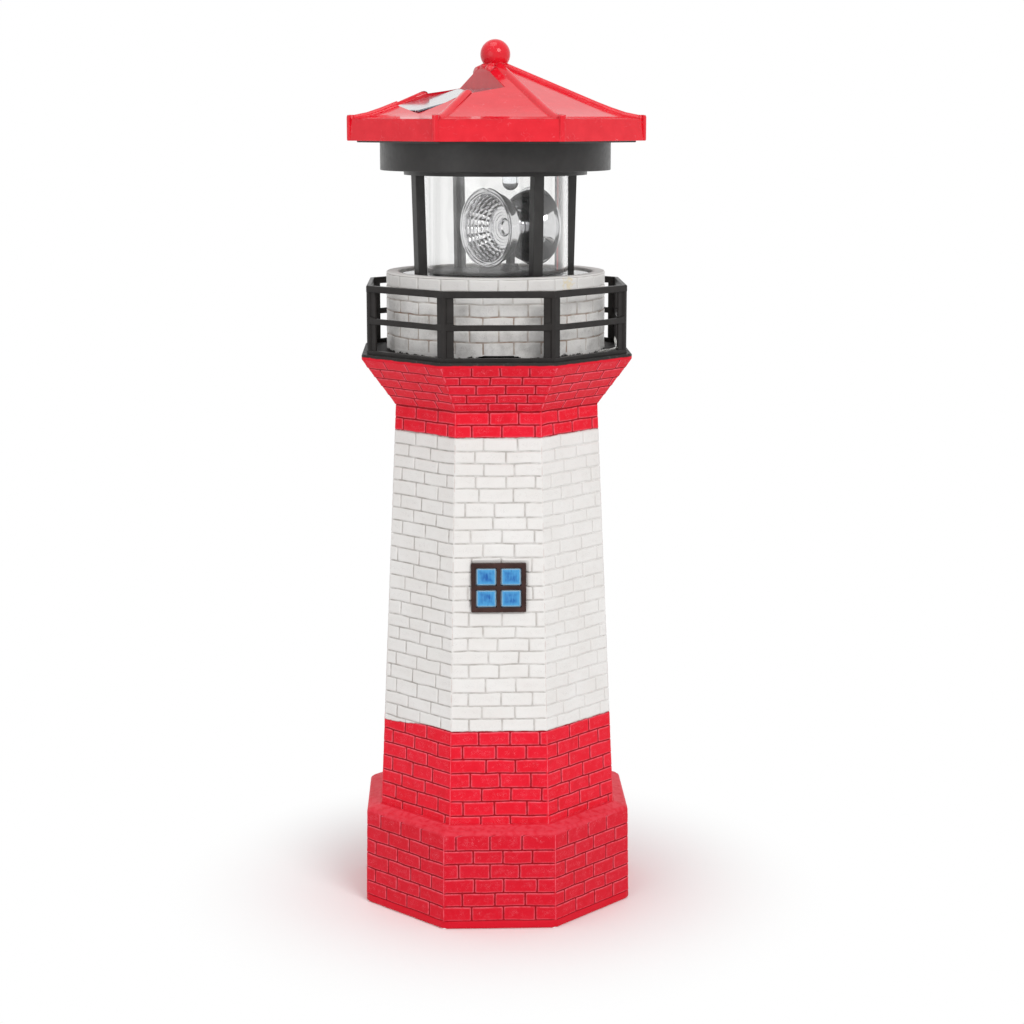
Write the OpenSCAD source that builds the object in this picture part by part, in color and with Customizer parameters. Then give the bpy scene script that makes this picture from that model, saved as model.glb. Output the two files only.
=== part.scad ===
// Garden lighthouse ornament with a turning beacon.
// Millimetres, +Z up. The origin is the centre of the plinth's underside,
// and the front facet, with the window, faces -Y.

/* [Tower] */
// Plinth width across flats at the ground
plinth_w = 84; // [78:0.5:90]
// Plinth width across flats at its top edge
plinth_top_w = 83; // [78:0.5:88]
// Height of the plinth
plinth_h = 31.2; // [26:0.2:40]
// Rise of the plinth's top ledge from its edge to the shaft
ledge_rise = 0.8; // [0.4:0.1:2]
// Radius that rounds the plinth's top edge
plinth_round = 1.4; // [0.6:0.1:2]
// Shaft width across flats where it leaves the plinth
shaft_w = 73.9; // [70:0.1:76]
// Shaft width across flats at the neck under the flare
neck_w = 62.3; // [60:0.1:66]
// Height of the shaft from the plinth to the neck
shaft_h = 128.5; // [110:0.5:150]
// Height of the flare from the neck to the deck
flare_h = 14.3; // [12:0.1:18]
// Width of the deck across flats
deck_w = 82.6; // [80:0.1:88]
// Thickness of the deck's upright edge
deck_t = 1.6; // [1:0.1:3]
// Height of the drum above the deck
drum_h = 24.2; // [22:0.2:30]
// Wall of the drum round its socket
drum_wall = 4; // [3:0.1:4.6]
// Wall of the hollow casting
casting_wall = 4; // [3:0.1:5]
// Depth of the socket in the drum
socket_depth = 27.8; // [25:0.1:31]
// Width of the ledge that the lantern head stands on
seat_w = 5; // [3:0.1:7]
// Thickness of that ledge
seat_t = 3; // [2:0.1:4]
// Width of the drain arch at the front of the drum's foot
drain_w = 13.2; // [8:0.1:16]
// Height of the drain arch
drain_h = 1.3; // [0.8:0.1:2]

/* [Gallery railing] */
// Width of the railing across flats
rail_w = 79.3; // [77:0.1:80]
// Height of the railing above the deck
rail_h = 20.9; // [16:0.1:24]
// Height of the middle rail's centre above the deck
mid_rail_z = 10.1; // [8:0.1:11]
// Depth of the rails from face to back
rail_t = 1.3; // [1:0.1:1.8]
// Height of the top rail
top_rail_h = 2; // [1.4:0.1:2.6]
// Height of the middle rail
mid_rail_h = 1.7; // [1.2:0.1:2.4]
// Height of the foot rail
foot_rail_h = 1.2; // [0.8:0.1:2]
// Width of each leaf of an angle-section corner post
leaf_w = 3.6; // [2.5:0.1:5]

/* [Window] */
// Width of the window frame
window_w = 17.1; // [14:0.1:20]
// Height of the window frame
window_h = 15.4; // [12:0.1:20]
// Height of the window's centre above the ground
window_z = 106.3; // [70:0.1:130]
// Width of the frame's outer bars
window_bar = 1.65; // [1.2:0.05:2.2]
// Width of the bars between the panes
muntin_w = 1.25; // [0.8:0.05:2]
// How far the frame stands proud of the wall
window_proud = 0.9; // [0.5:0.1:1.5]
// Depth of the window's recess in the wall
window_recess = 1; // [0.6:0.1:1.6]
// Thickness of the glazing
pane_t = 1; // [0.6:0.1:1.2]

/* [Head base] */
// Gap all round between the base cup and the drum's socket
cup_gap = 0.4; // [0.3:0.05:0.8]
// Height of the base cup
cup_h = 26.2; // [26.2:0.1:28]
// Wall of the base cup
cup_wall = 1.6; // [1.2:0.1:2]
// Thickness of the base cup's deck
cup_deck = 1.5; // [1.2:0.1:2]
// Gap all round between the dark stage and the clear tube
stage_gap = 0.3; // [0.2:0.05:0.8]
// Height of the stage over the cup's deck
stage_t = 1.4; // [1:0.1:2]
// Thickness of the base cover
cover_t = 1.6; // [1.2:0.1:2]
// Distance of the cover screws from the cup's inner wall
cover_screw_inset = 3.4; // [3.2:0.1:3.8]
// Diameter of the posts that take the cover screws
screw_post_d = 4.4; // [4:0.1:4.8]

/* [Lantern] */
// Outer diameter of the clear tube
tube_d = 45; // [44.6:0.1:45.6]
// Wall of the clear tube
tube_wall = 1.2; // [0.8:0.1:1.2]
// Width of the tube's foot flange outside the middle of the posts
flange_reach = 3; // [2:0.1:3.4]
// Margin between the foot flange's edge and the base cup's edge
flange_margin = 0.9; // [0.4:0.1:1.6]
// Thickness of the foot flange
tube_flange_t = 1; // [0.8:0.1:1.6]
// Height of the lantern from the base cup to the frame's cap
lantern_h = 31.1; // [28:0.1:36]
// Width of a lantern post across its face
post_w = 3.3; // [2.6:0.1:4]
// Depth of a lantern post toward the axis
post_t = 3; // [2.4:0.1:3.2]
// Gap between the clear tube and the foot of a post, in which the wires rise
post_gap = 1.7; // [1.6:0.1:2.1]
// Direction of the back right post, in degrees
post_turn = 26.5; // [20:0.5:29]
// How far a post leans outward from its foot to its top
post_lean = 0.9; // [0.6:0.1:1.4]
// Width of the frame's cap outside the middle of the posts
cap_margin = 1.65; // [1.5:0.05:3]
// Thickness of the frame's cap
cap_t = 1.4; // [1:0.1:2]

/* [Housing and roof] */
// How far the round lamp housing stands in from the skirt's foot
housing_inset = 9; // [8.6:0.1:11]
// Height of the lamp housing under the roof plate
housing_h = 8.5; // [8:0.1:12]
// Wall of the lamp housing
housing_wall = 1.8; // [1.4:0.1:2.4]
// Thickness of the eight-sided plate that closes the roof
plate_t = 1.6; // [1.2:0.1:2.2]
// How far that plate shows below the skirt
plate_drop = 0.5; // [0:0.1:0.9]
// Width of the roof across flats at the skirt's lower edge
roof_w = 89; // [86:0.5:94]
// Draft of the skirt on each side, from its foot to its top
skirt_draft = 0.5; // [0:0.1:1]
// Height of the skirt
skirt_h = 6.4; // [5:0.1:8]
// Rise of the straight slopes, from which the eave falls short
roof_rise = 19.5; // [16:0.1:22]
// Softness of the bend at the eave, as a share of the roof's half width
eave_bend = 0.13; // [0.06:0.01:0.16]
// Thickness of the roof shell
roof_t = 2; // [1.4:0.1:2.2]
// Width of a half-round corner rib
rib_w = 3; // [2:0.1:3.6]
// How far a rib's crest stands above the corner of the facets
rib_proud = 1.1; // [0.8:0.1:1.8]
// Height of the nib at each skirt corner above the skirt
nib_h = 1.2; // [0.6:0.1:2]
// Radius of the finial ball
ball_r = 4.6; // [3.5:0.1:5.5]
// Radius of the neck under the ball
neck_r = 3.2; // [2.5:0.1:3.4]
// Height of the ball's centre over the roof's peak
ball_rise = 2.2; // [1.8:0.1:5]

/* [Solar panel] */
// Width of the pocket in the roof, across the corner that it cuts
pocket_w = 34.6; // [30:0.1:36]
// Distance from the axis to the pocket's uphill wall
pocket_start = 4.6; // [4.2:0.1:6]
// Distance from the axis to the pocket's downhill wall
pocket_end = 32.4; // [31:0.1:34]
// Slope of the pocket's floor in degrees
pocket_tilt = 14; // [12:0.5:16]
// Margin between the panel and the pocket's walls
panel_margin = 0.7; // [0.4:0.1:1.5]
// Thickness of the panel
panel_t = 1.2; // [0.8:0.1:1.8]
// Thickness of the roof under the panel
pocket_floor = 1.4; // [1:0.1:2]
// Gap round the panel in its recess
panel_gap = 0.15; // [0.05:0.05:0.4]

/* [Beacon] */
// Sideways offset of the beacon's spindle from the head's axis
spindle_x = 4.6; // [3.5:0.1:5]
// Diameter of the reflector's rims
reflector_d = 24.4; // [22:0.1:25]
// Length of the reflector from rim to rim
reflector_l = 20.5; // [18:0.1:21]
// Diameter of the waist between the two bowls
waist_d = 10.4; // [8:0.1:11]
// Length of the waist
waist_l = 3.4; // [2.6:0.1:4.4]
// Wall of the reflector
reflector_t = 0.9; // [0.7:0.1:1.2]
// Width of the flat lip at each rim
lip_w = 0.9; // [0.6:0.1:1.3]
// Radius of the hollow at the bottom of each bowl
bowl_eye_r = 2.9; // [2.4:0.1:3.2]
// Number of mirror facets round a bowl
facet_count = 24; // [16:2:28]
// Number of facet rings down a bowl
facet_rings = 5; // [3:1:6]
// Height of the reflector's axis over the base cup
beacon_z = 15; // [14.4:0.1:16]
// Direction in which the first bowl faces at rest, in degrees
beacon_turn = 220; // [0:1:359]
// Diameter of the spindle where it passes the stage
spindle_d = 4.6; // [4:0.1:5]
// Radial running clearance of shafts in their bores
run_gap = 0.06; // [0.03:0.01:0.09]
// Diameter of the lamp
led_d = 5; // [4.8:0.1:5.2]
// Distance from the frame's cap down to the lamp's tip
led_reach = 4.9; // [3.5:0.1:5.2]

/* [Gear train] */
// Gear module
gear_module = 0.5; // [0.48:0.01:0.5]
// Teeth of the spindle's wheel
wheel_teeth = 40; // [36:1:40]
// Teeth of the idler's wheel
idler_teeth = 36; // [32:1:36]
// Teeth of both pinions
pinion_teeth = 10; // [10:1:12]
// Play between meshing teeth, measured along the pitch circle
backlash = 0.12; // [0.08:0.01:0.16]
// Thickness of a gear
gear_t = 1.8; // [1.4:0.1:2]
// Gap between the layers of gears and the plates
layer_gap = 0.35; // [0.3:0.05:0.5]
// Thickness of the gear plate
gear_plate_t = 1.2; // [1:0.1:1.6]
// Direction from the spindle to the idler, in degrees
idler_dir = 120; // [115:1:124]
// Direction from the idler to the motor, in degrees
motor_dir = 20; // [14:1:26]
// Diameter of the motor
motor_d = 12; // [10:0.1:12]
// Length of the motor's can
motor_l = 14; // [10:0.1:14.5]
// Diameter of the motor's shaft
motor_shaft_d = 1; // [0.8:0.1:1.2]
// Diameter of the idler's axle
axle_d = 1.5; // [1.2:0.1:1.8]

/* [Battery and switch] */
// Diameter of the rechargeable cell
cell_d = 10.5; // [10:0.1:10.5]
// Length of the cell with its button
cell_l = 44.5; // [43:0.1:44.5]
// Distance of the cell's axis behind the head's axis line
cell_y = -8.2; // [-8.6:0.1:-7.6]
// Travel of the switch knob
switch_travel = 2; // [1.5:0.1:2.5]
// Diameter of a wire's insulation
wire_d = 0.9; // [0.7:0.1:1]

/* [Hidden] */

// Facets of the round parts
round_fn = 96;
small_fn = 32;
// Overlap that lets a cut pass a face
eps = 0.5;
// Turns a half width across flats into a corner radius
corner = 1 / cos(22.5);

resin_white = [0.93, 0.92, 0.90];
gloss_red = [0.86, 0.11, 0.17];
black = [0.13, 0.13, 0.13];

// Levels from the ground up
neck_z = plinth_h + shaft_h;
deck_top = neck_z + flare_h + deck_t;
drum_top = deck_top + drum_h;
socket_z = drum_top - socket_depth;
cup_top = socket_z + cup_h;
stage_top = cup_top + stage_t;
cap_z = cup_top + lantern_h;
housing_z = cap_z + cap_t;
plate_z = housing_z + housing_h;
roof_z = plate_z + plate_drop;
peak_z = roof_z + skirt_h + roof_rise * (sqrt(1 + eave_bend * eave_bend) - eave_bend);

// Clearance of pieces that are put together and don't move
fit_gap = 0.2;
// Clearance of a pressed or glued pin
pin_gap = 0.05;

// Screws of one size, and how far their threads reach into what they hold
screw_r = 0.9;
screw_head_r = 1.7;
screw_head_h = 1.2;
// Height of a countersunk head
sunk_head_h = screw_head_r - screw_r;
cover_thread_l = 6;
plate_thread_l = 3.2;
frame_thread_l = 4;
housing_thread_l = 3;
// Length of a screw's hole past its tip
hole_spare = 0.6;

// Lantern
tube_r = tube_d / 2;
tube_in = tube_r - tube_wall;
stage_r = tube_in - stage_gap;
post_foot_r = tube_r + post_gap + post_t / 2;
post_top_r = post_foot_r + post_lean;
flange_r = post_foot_r + flange_reach;
cap_r = post_top_r + cap_margin;
post_dirs = [for (k = [0 : 3]) post_turn + 90 * k];
peg_r = 0.9;
peg_gap = 0.1;
// How far a peg reaches up into its post
peg_root = 1;

// Wires
wire_gap = 0.5;
wire_pitch = wire_d + wire_gap;
lead_dir = post_dirs[0];
lead_r = tube_r + post_gap / 2;
// Length of the wires below the gear plate
lead_tail = 4;

// Battery bay
cell_gap = 0.2;
button_l = 0.8;
button_r = 1.9;
contact_t = 0.5;
contact_w = 5.6;
contact_h = 7.6;
contact_seat = 0.1;
bay_wall = 1.2;
bay_wall_w = 6.4;
bay_wall_x = cell_l / 2 + cell_gap + contact_t + contact_seat;
bay_corner_r = norm([bay_wall_x + bay_wall, abs(cell_y) + bay_wall_w / 2]);
// How far the gear plate reaches back over the cell
plate_over_cell = 1.5;

// Head base. The cup is as wide as the battery bay and the tube's flange need.
cup_r = max(flange_r + flange_margin, bay_corner_r + 2 * fit_gap + cup_wall);
cup_in = cup_r - cup_wall;
cover_z = socket_z + cover_t;
cell_z = cover_z + cell_gap + cell_d / 2;
socket_r = cup_r + cup_gap;
drum_r = socket_r + drum_wall;
cover_screw_r = cup_in - cover_screw_inset;
cover_screw_dirs = [5, 160, 270];

// Gear train, from the gear plate up
wheel_r = gear_module * wheel_teeth / 2;
idler_r = gear_module * idler_teeth / 2;
pinion_r = gear_module * pinion_teeth / 2;
spindle_at = [spindle_x, 0];
idler_at = spindle_at + (wheel_r + pinion_r) * [cos(idler_dir), sin(idler_dir)];
motor_at = idler_at + (idler_r + pinion_r) * [cos(motor_dir), sin(motor_dir)];
cup_ceiling = cup_top - cup_deck;
upper_gear_z = cup_ceiling - layer_gap - gear_t;
lower_gear_z = upper_gear_z - layer_gap - gear_t;
gear_plate_top = lower_gear_z - layer_gap;
gear_plate_z = gear_plate_top - gear_plate_t;
gear_plate_r = cup_in - fit_gap;
// Radius of the spindle's pivot in the gear plate
pivot_r = 1.5;
plate_screw_r1 = 16.5;
plate_screw_r2 = 20.1;
plate_screw_r3 = 22.5;
plate_screw_at = [
    plate_screw_r1 * [cos(166), sin(166)],
    plate_screw_r2 * [cos(-4), sin(-4)],
    plate_screw_r3 * [cos(124), sin(124)]];
// Gap that spaces a turning shoulder from the plate under it
shoulder_gap = 0.1;
shoulder_w = 0.7;
motor_boss_r = 2;
motor_bore_l = 6;
// Length by which the motor's shaft stops short of its bore's end
shaft_end_gap = 0.5;

// Switch
switch_at = [-13, 13.5];
switch_l = 8.6;
switch_w = 3.8;
switch_h = 4;
knob_l = 2;
knob_w = 1.6;
knob_gap = 0.3;
knob_drop = 1.4;
knob_depth = 1.3;

// Lamp and circuit board
led_tip = cap_z - led_reach;
led_flange_z = housing_z + housing_wall;
led_flange_w = 0.45;
led_flange_t = 1;
led_leg_r = 0.3;
led_leg_pitch = 2.54;
led_leg_gap = 0.1;
// How far the lamp's legs stand out above the board
led_leg_end = 0.6;
stand_h = 2.6;
stand_d = 4;
stand_margin = 3;
board_z = led_flange_z + stand_h;
board_t = 1.4;
board_l = 30;
board_w = 18;

// Housing and roof
housing_r = roof_w / 2 - housing_inset;
roof_in = roof_w / 2 - skirt_draft - roof_t;
housing_screw_r = (housing_r + roof_in) / 2;
housing_screw_dirs = [0 : 90 : 270];
// Depth by which a countersink starts outside the plate
plate_cut = 0.01;
nib_r = 0.8;
rib_sides = 8;
// Distance from the axis at which a rib begins, and its end's distance from the skirt
rib_start = 2;
rib_end_inset = 1.2;
// How deep the finial's neck is set into the peak
neck_root = 3;

// Height of the facets above the skirt's foot, at a distance from the axis
function slope_share(a) = 1 - a / (roof_w / 2 - skirt_draft);
function roof_height(a) =
    skirt_h + roof_rise * (sqrt(pow(slope_share(a), 2) + eave_bend * eave_bend) - eave_bend);

roof_steps = 10;
peak_half = 0.6;
function roof_distance(i, half) = peak_half + (half - peak_half) * (1 - i / roof_steps);

// Half of the roof's section, from the skirt's foot to the peak
function roof_section(half, drop) =
    [for (i = [0 : roof_steps])
        let (a = roof_distance(i, half))
        [a, roof_z + roof_height(a) - drop]];

// Solar pocket, measured along the line from the axis through its middle and over a corner.
// Its floor meets the facets at the two downhill corners.
pocket_dir = 202.5;
pocket_end_z = roof_z + roof_height(pocket_end * cos(22.5) + pocket_w / 2 * sin(22.5));
pocket_start_z = pocket_end_z + (pocket_end - pocket_start) * tan(pocket_tilt);
panel_start = pocket_start + panel_margin;
panel_end = pocket_end - panel_margin;
panel_w = pocket_w - 2 * panel_margin;
// Bed of glue under the panel
panel_bed = 0.05;

// Beacon
reflector_z = cup_top + beacon_z;
rim_r = reflector_d / 2;
lip_t = 0.8;
bowl_depth = reflector_l / 2 - waist_l / 2;
bowl_steps = 12;
// Distance from the spindle to where the hollow of a bowl begins
bowl_start = waist_l / 2 + reflector_t;
// Peg that plugs into the reflector's waist
socket_peg_r = 0.9;
socket_peg_h = 2.4;
// Foot of the pedestal over the stage, and the gap under the rims
pedestal_gap = 0.3;
pedestal_flare = 1;
pedestal_flare_h = 2;
rim_gap = 0.4;
neck_gap = 0.3;

// Window
window_slope = atan((shaft_w - neck_w) / 2 / shaft_h);
window_y = -(shaft_w / 2 - (window_z - plinth_h) * tan(window_slope));

// ---------------------------------------------------------------- helpers

// Faces of a loft through a number of cross-sections that have as many points each
function loft_faces(sections, n) = concat(
    [[for (k = [0 : n - 1]) k]],
    [[for (k = [n - 1 : -1 : 0]) (sections - 1) * n + k]],
    [for (i = [0 : sections - 2]) for (k = [0 : n - 1])
        [i * n + k, (i + 1) * n + k, (i + 1) * n + (k + 1) % n, i * n + (k + 1) % n]]);

// A solid with eight equal sides whose half width follows a section.
// The section is a list of [half width, height] from the foot up.
module eight_sided(section) {
    polyhedron(
        points = [for (p = section) for (k = [0 : 7])
            [p[0] * corner * cos(22.5 + 45 * k), p[0] * corner * sin(22.5 + 45 * k), p[1]]],
        faces = loft_faces(len(section), 8));
}

// A flat eight-sided plate
module eight_plate(half, z, height) {
    translate([0, 0, z])
        rotate([0, 0, 22.5])
            cylinder(r = half * corner, h = height, $fn = 8);
}

// A round ring
module ring(outer_r, inner_r, z, height) {
    translate([0, 0, z])
        difference() {
            cylinder(r = outer_r, h = height, $fn = round_fn);
            translate([0, 0, -eps])
                cylinder(r = inner_r, h = height + 2 * eps, $fn = round_fn);
        }
}

// A pan-head screw at the origin that points up, with its head below
module screw_up(length) {
    translate([0, 0, -screw_head_h])
        cylinder(r = screw_head_r, h = screw_head_h, $fn = small_fn);
    cylinder(r = screw_r, h = length, $fn = small_fn);
}

// A countersunk screw at the origin that points up, flush with the face that it enters
module sunk_screw_up(length, gap = 0) {
    cylinder(r1 = screw_head_r + gap, r2 = screw_r + gap, h = sunk_head_h, $fn = small_fn);
    cylinder(r = screw_r + gap, h = length, $fn = small_fn);
}

// The bore in which a shaft of a given diameter turns
module shaft_bore(shaft_d, length) {
    cylinder(d = shaft_d + 2 * run_gap, h = length, $fn = small_fn);
}

// Places its children at a distance and direction from the axis
module at_polar(distance, direction) {
    rotate([0, 0, direction])
        translate([distance, 0, 0])
            children();
}

// Involute of a circle, as a point, at an unrolled angle in degrees
function involute(base, unrolled) =
    let (turn = unrolled * PI / 180)
    [base * (cos(unrolled) + turn * sin(unrolled)), base * (sin(unrolled) - turn * cos(unrolled))];
function unrolled_at(base, r) = sqrt(max(0, pow(r / base, 2) - 1)) * 180 / PI;
function direction_of(p) = atan2(p[1], p[0]);
function turned(p, a) = [p[0] * cos(a) - p[1] * sin(a), p[0] * sin(a) + p[1] * cos(a)];

pressure_angle = 20;
flank_steps = 3;
tip_clearance = 0.25;

// One flank of a tooth, from root to tip, placed left of the tooth's middle line
function flank(teeth) =
    let (pitch = gear_module * teeth / 2,
        base = pitch * cos(pressure_angle),
        root = pitch - (1 + tip_clearance) * gear_module,
        tip = pitch + gear_module,
        at_pitch = direction_of(involute(base, unrolled_at(base, pitch))),
        half_tooth = 90 / teeth - backlash / 2 / pitch * 180 / PI,
        low = max(root, base))
    concat(
        root < base ? [turned([root, 0], -at_pitch - half_tooth)] : [],
        [for (i = [0 : flank_steps])
            let (r = low + (tip - low) * i / flank_steps)
            turned(involute(base, unrolled_at(base, r)), -at_pitch - half_tooth)]);

function mirrored(points) = [for (i = [len(points) - 1 : -1 : 0]) [points[i][0], -points[i][1]]];

// A spur gear with the middle of a tooth or of a gap on the +X axis
module spur_gear(teeth, height, gap_on_x = false) {
    one_tooth = concat(flank(teeth), mirrored(flank(teeth)));
    start = gap_on_x ? 180 / teeth : 0;
    linear_extrude(height = height)
        polygon([for (t = [0 : teeth - 1]) for (p = one_tooth) turned(p, start + t * 360 / teeth)]);
}

// ------------------------------------------------------------------ tower

// Outer section of the casting up to the deck
function tower_section() = concat(
    [[plinth_w / 2 - 0.6, 0], [plinth_w / 2, 0.6]],
    [for (a = [0 : 30 : 90])
        [plinth_top_w / 2 - plinth_round * (1 - cos(a)), plinth_h - plinth_round * (1 - sin(a))]],
    [[shaft_w / 2, plinth_h + ledge_rise],
        [neck_w / 2, neck_z],
        [deck_w / 2, neck_z + flare_h],
        [deck_w / 2, deck_top]]);

// Section of the hollow, from below the ground to under the seat
function hollow_section() = [
    [plinth_w / 2 - casting_wall - 1, -eps],
    [plinth_top_w / 2 - casting_wall - 1, plinth_h - casting_wall],
    [shaft_w / 2 - casting_wall, plinth_h + ledge_rise],
    [neck_w / 2 - casting_wall, neck_z],
    [neck_w / 2 - casting_wall, socket_z - seat_t]];

// The window's own frame: X across the wall, Y up the wall, Z out of it
module on_window_wall() {
    translate([0, window_y, window_z])
        rotate([90 - window_slope, 0, 0])
            children();
}

module drain_arch() {
    arch_r = (pow(drain_w / 2, 2) + drain_h * drain_h) / 2 / drain_h;
    intersection() {
        translate([0, -drum_r - eps, deck_top + drain_h - arch_r])
            rotate([-90, 0, 0])
                cylinder(r = arch_r, h = drum_wall + eps + 1, $fn = round_fn);
        translate([-drain_w, -drum_r - eps, deck_top])
            cube([2 * drain_w, drum_wall + eps + 1, drain_h + eps]);
    }
}

module tower_casting() {
    color(resin_white)
        difference() {
            union() {
                intersection() {
                    eight_sided(tower_section());
                    // Takes the sharp edge off the plinth's corners
                    cylinder(r = plinth_w / 2 * corner - 0.5, h = deck_top + eps, $fn = round_fn);
                }
                translate([0, 0, deck_top - eps])
                    cylinder(r = drum_r, h = drum_h + eps, $fn = round_fn);
            }
            eight_sided(hollow_section());
            translate([0, 0, socket_z - seat_t - eps])
                cylinder(r = socket_r - seat_w, h = seat_t + 2 * eps, $fn = round_fn);
            translate([0, 0, socket_z])
                cylinder(r = socket_r, h = socket_depth + eps, $fn = round_fn);
            on_window_wall()
                translate([-window_w / 2, -window_h / 2, -window_recess])
                    cube([window_w, window_h, window_recess + eps + 1]);
            drain_arch();
        }
}

// Left and right leaves of one corner post, at the corner on +X
module corner_post() {
    half_side = rail_w / 2 * tan(22.5);
    for (side = [-1, 1])
        rotate([0, 0, side * 22.5])
            translate([rail_w / 2 - rail_t, side > 0 ? -half_side : half_side - leaf_w, 0])
                cube([rail_t, leaf_w, rail_h]);
}

module rail_loop(z, height, inset) {
    difference() {
        eight_plate(rail_w / 2 - inset, deck_top + z, height);
        eight_plate(rail_w / 2 - rail_t, deck_top + z - eps, height + 2 * eps);
    }
}

module gallery_railing() {
    rail_inset = 0.25;
    color(black)
        intersection() {
            union() {
                rail_loop(0, foot_rail_h, 0);
                rail_loop(mid_rail_z - mid_rail_h / 2, mid_rail_h, rail_inset);
                rail_loop(rail_h - top_rail_h, top_rail_h, 0);
                for (k = [0 : 7])
                    rotate([0, 0, 22.5 + 45 * k])
                        translate([0, 0, deck_top])
                            corner_post();
            }
            eight_plate(rail_w / 2, deck_top, rail_h);
        }
}

module window_frame() {
    inner_w = window_w - 2 * window_bar;
    inner_h = window_h - 2 * window_bar;
    depth = window_recess + window_proud;
    pane_w = (inner_w - muntin_w) / 2;
    pane_h = (inner_h - muntin_w) / 2;
    color([0.22, 0.13, 0.11])
        on_window_wall()
            difference() {
                translate([-window_w / 2 + fit_gap, -window_h / 2 + fit_gap, -window_recess])
                    cube([window_w - 2 * fit_gap, window_h - 2 * fit_gap, depth]);
                for (x = [-1, 1])
                    for (y = [-1, 1])
                        translate([x * (pane_w + muntin_w) / 2, y * (pane_h + muntin_w) / 2, 0])
                            cube([pane_w, pane_h, 3 * depth], center = true);
                // Rebate that the glazing fills from behind
                translate([0, 0, pane_t / 2 - window_recess - eps])
                    cube([inner_w + window_bar, inner_h + window_bar, pane_t + 2 * eps], center = true);
            }
}

module window_panes() {
    glass_w = window_w - window_bar - 2 * fit_gap;
    glass_h = window_h - window_bar - 2 * fit_gap;
    color([0.13, 0.40, 0.76])
        on_window_wall()
            translate([0, 0, pane_t / 2 - window_recess])
                cube([glass_w, glass_h, pane_t], center = true);
}

// -------------------------------------------------------------- head base

module base_cup() {
    color(black)
        difference() {
            union() {
                difference() {
                    translate([0, 0, socket_z])
                        cylinder(r = cup_r, h = cup_h, $fn = round_fn);
                    translate([0, 0, socket_z - eps])
                        cylinder(r = cup_in, h = cup_h - cup_deck + eps, $fn = round_fn);
                }
                translate([0, 0, cup_top - eps])
                    cylinder(r = stage_r, h = stage_t + eps, $fn = round_fn);
                for (dir = cover_screw_dirs)
                    at_polar(cover_screw_r, dir)
                        translate([0, 0, cover_z])
                            cylinder(d = screw_post_d, h = cup_ceiling - cover_z + eps, $fn = small_fn);
                for (p = plate_screw_at)
                    translate([p[0], p[1], gear_plate_top])
                        cylinder(d = screw_post_d, h = cup_ceiling - gear_plate_top + eps, $fn = small_fn);
            }
            translate([spindle_x, 0, cup_ceiling - eps])
                shaft_bore(spindle_d, cup_deck + stage_t + 2 * eps);
            for (dir = cover_screw_dirs)
                at_polar(cover_screw_r, dir)
                    translate([0, 0, cover_z - eps])
                        cylinder(r = screw_r, h = cover_thread_l + hole_spare + eps, $fn = small_fn);
            for (p = plate_screw_at)
                translate([p[0], p[1], gear_plate_top - eps])
                    cylinder(r = screw_r, h = plate_thread_l + hole_spare + eps, $fn = small_fn);
            for (dir = post_dirs)
                at_polar(post_foot_r, dir)
                    translate([0, 0, cup_ceiling - eps])
                        cylinder(r = peg_r + peg_gap, h = cup_deck + 2 * eps, $fn = small_fn);
            at_polar(lead_r, lead_dir)
                translate([0, 0, cup_ceiling - eps])
                    lead_slot(cup_deck + 2 * eps);
        }
}

// A hole that both wires pass side by side
module lead_slot(height) {
    for (side = [-1, 1])
        translate([0, side * wire_pitch / 2, 0])
            cylinder(d = wire_d + 2 * fit_gap, h = height, $fn = small_fn);
}

module base_cover() {
    color(black)
        difference() {
            union() {
                translate([0, 0, socket_z])
                    cylinder(r = cup_in - fit_gap, h = cover_t, $fn = round_fn);
                // End walls that hold the battery contacts
                for (x = [bay_wall_x, -bay_wall_x - bay_wall])
                    translate([x, cell_y - bay_wall_w / 2, cover_z - eps])
                        cube([bay_wall, bay_wall_w, cell_d + eps]);
            }
            for (dir = cover_screw_dirs)
                at_polar(cover_screw_r, dir)
                    translate([0, 0, socket_z - eps]) {
                        cylinder(r = screw_r + fit_gap, h = cover_t + 2 * eps, $fn = small_fn);
                        cylinder(r = screw_head_r + fit_gap, h = cover_t / 2 + eps, $fn = small_fn);
                    }
            knob_track(socket_z - eps, cover_t + 2 * eps);
        }
}

// The room in which the switch's knob slides
module knob_track(z, height) {
    track_l = knob_l + switch_travel + 2 * knob_gap;
    track_w = knob_w + 2 * knob_gap;
    translate([switch_at[0] - track_l / 2, switch_at[1] - track_w / 2, z])
        cube([track_l, track_w, height]);
}

module cover_screws() {
    color([0.7, 0.7, 0.72])
        for (dir = cover_screw_dirs)
            at_polar(cover_screw_r, dir)
                translate([0, 0, socket_z + cover_t / 2])
                    low_screw(cover_t / 2 + cover_thread_l);
}

// A screw whose flat head is as thick as half the cover
module low_screw(length) {
    translate([0, 0, -cover_t / 2])
        cylinder(r = screw_head_r, h = cover_t / 2, $fn = small_fn);
    cylinder(r = screw_r, h = length, $fn = small_fn);
}

module battery() {
    color([0.25, 0.55, 0.35])
        translate([-cell_l / 2, cell_y, cell_z])
            rotate([0, 90, 0]) {
                cylinder(d = cell_d, h = cell_l - button_l, $fn = round_fn);
                cylinder(r = button_r, h = cell_l, $fn = small_fn);
            }
}

// The contact plates at both ends of the cell
module battery_contacts() {
    color([0.78, 0.78, 0.76])
        for (x = [bay_wall_x - contact_t, -bay_wall_x])
            translate([x, cell_y - contact_w / 2, cell_z - contact_h / 2])
                cube([contact_t, contact_w, contact_h]);
}

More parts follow.
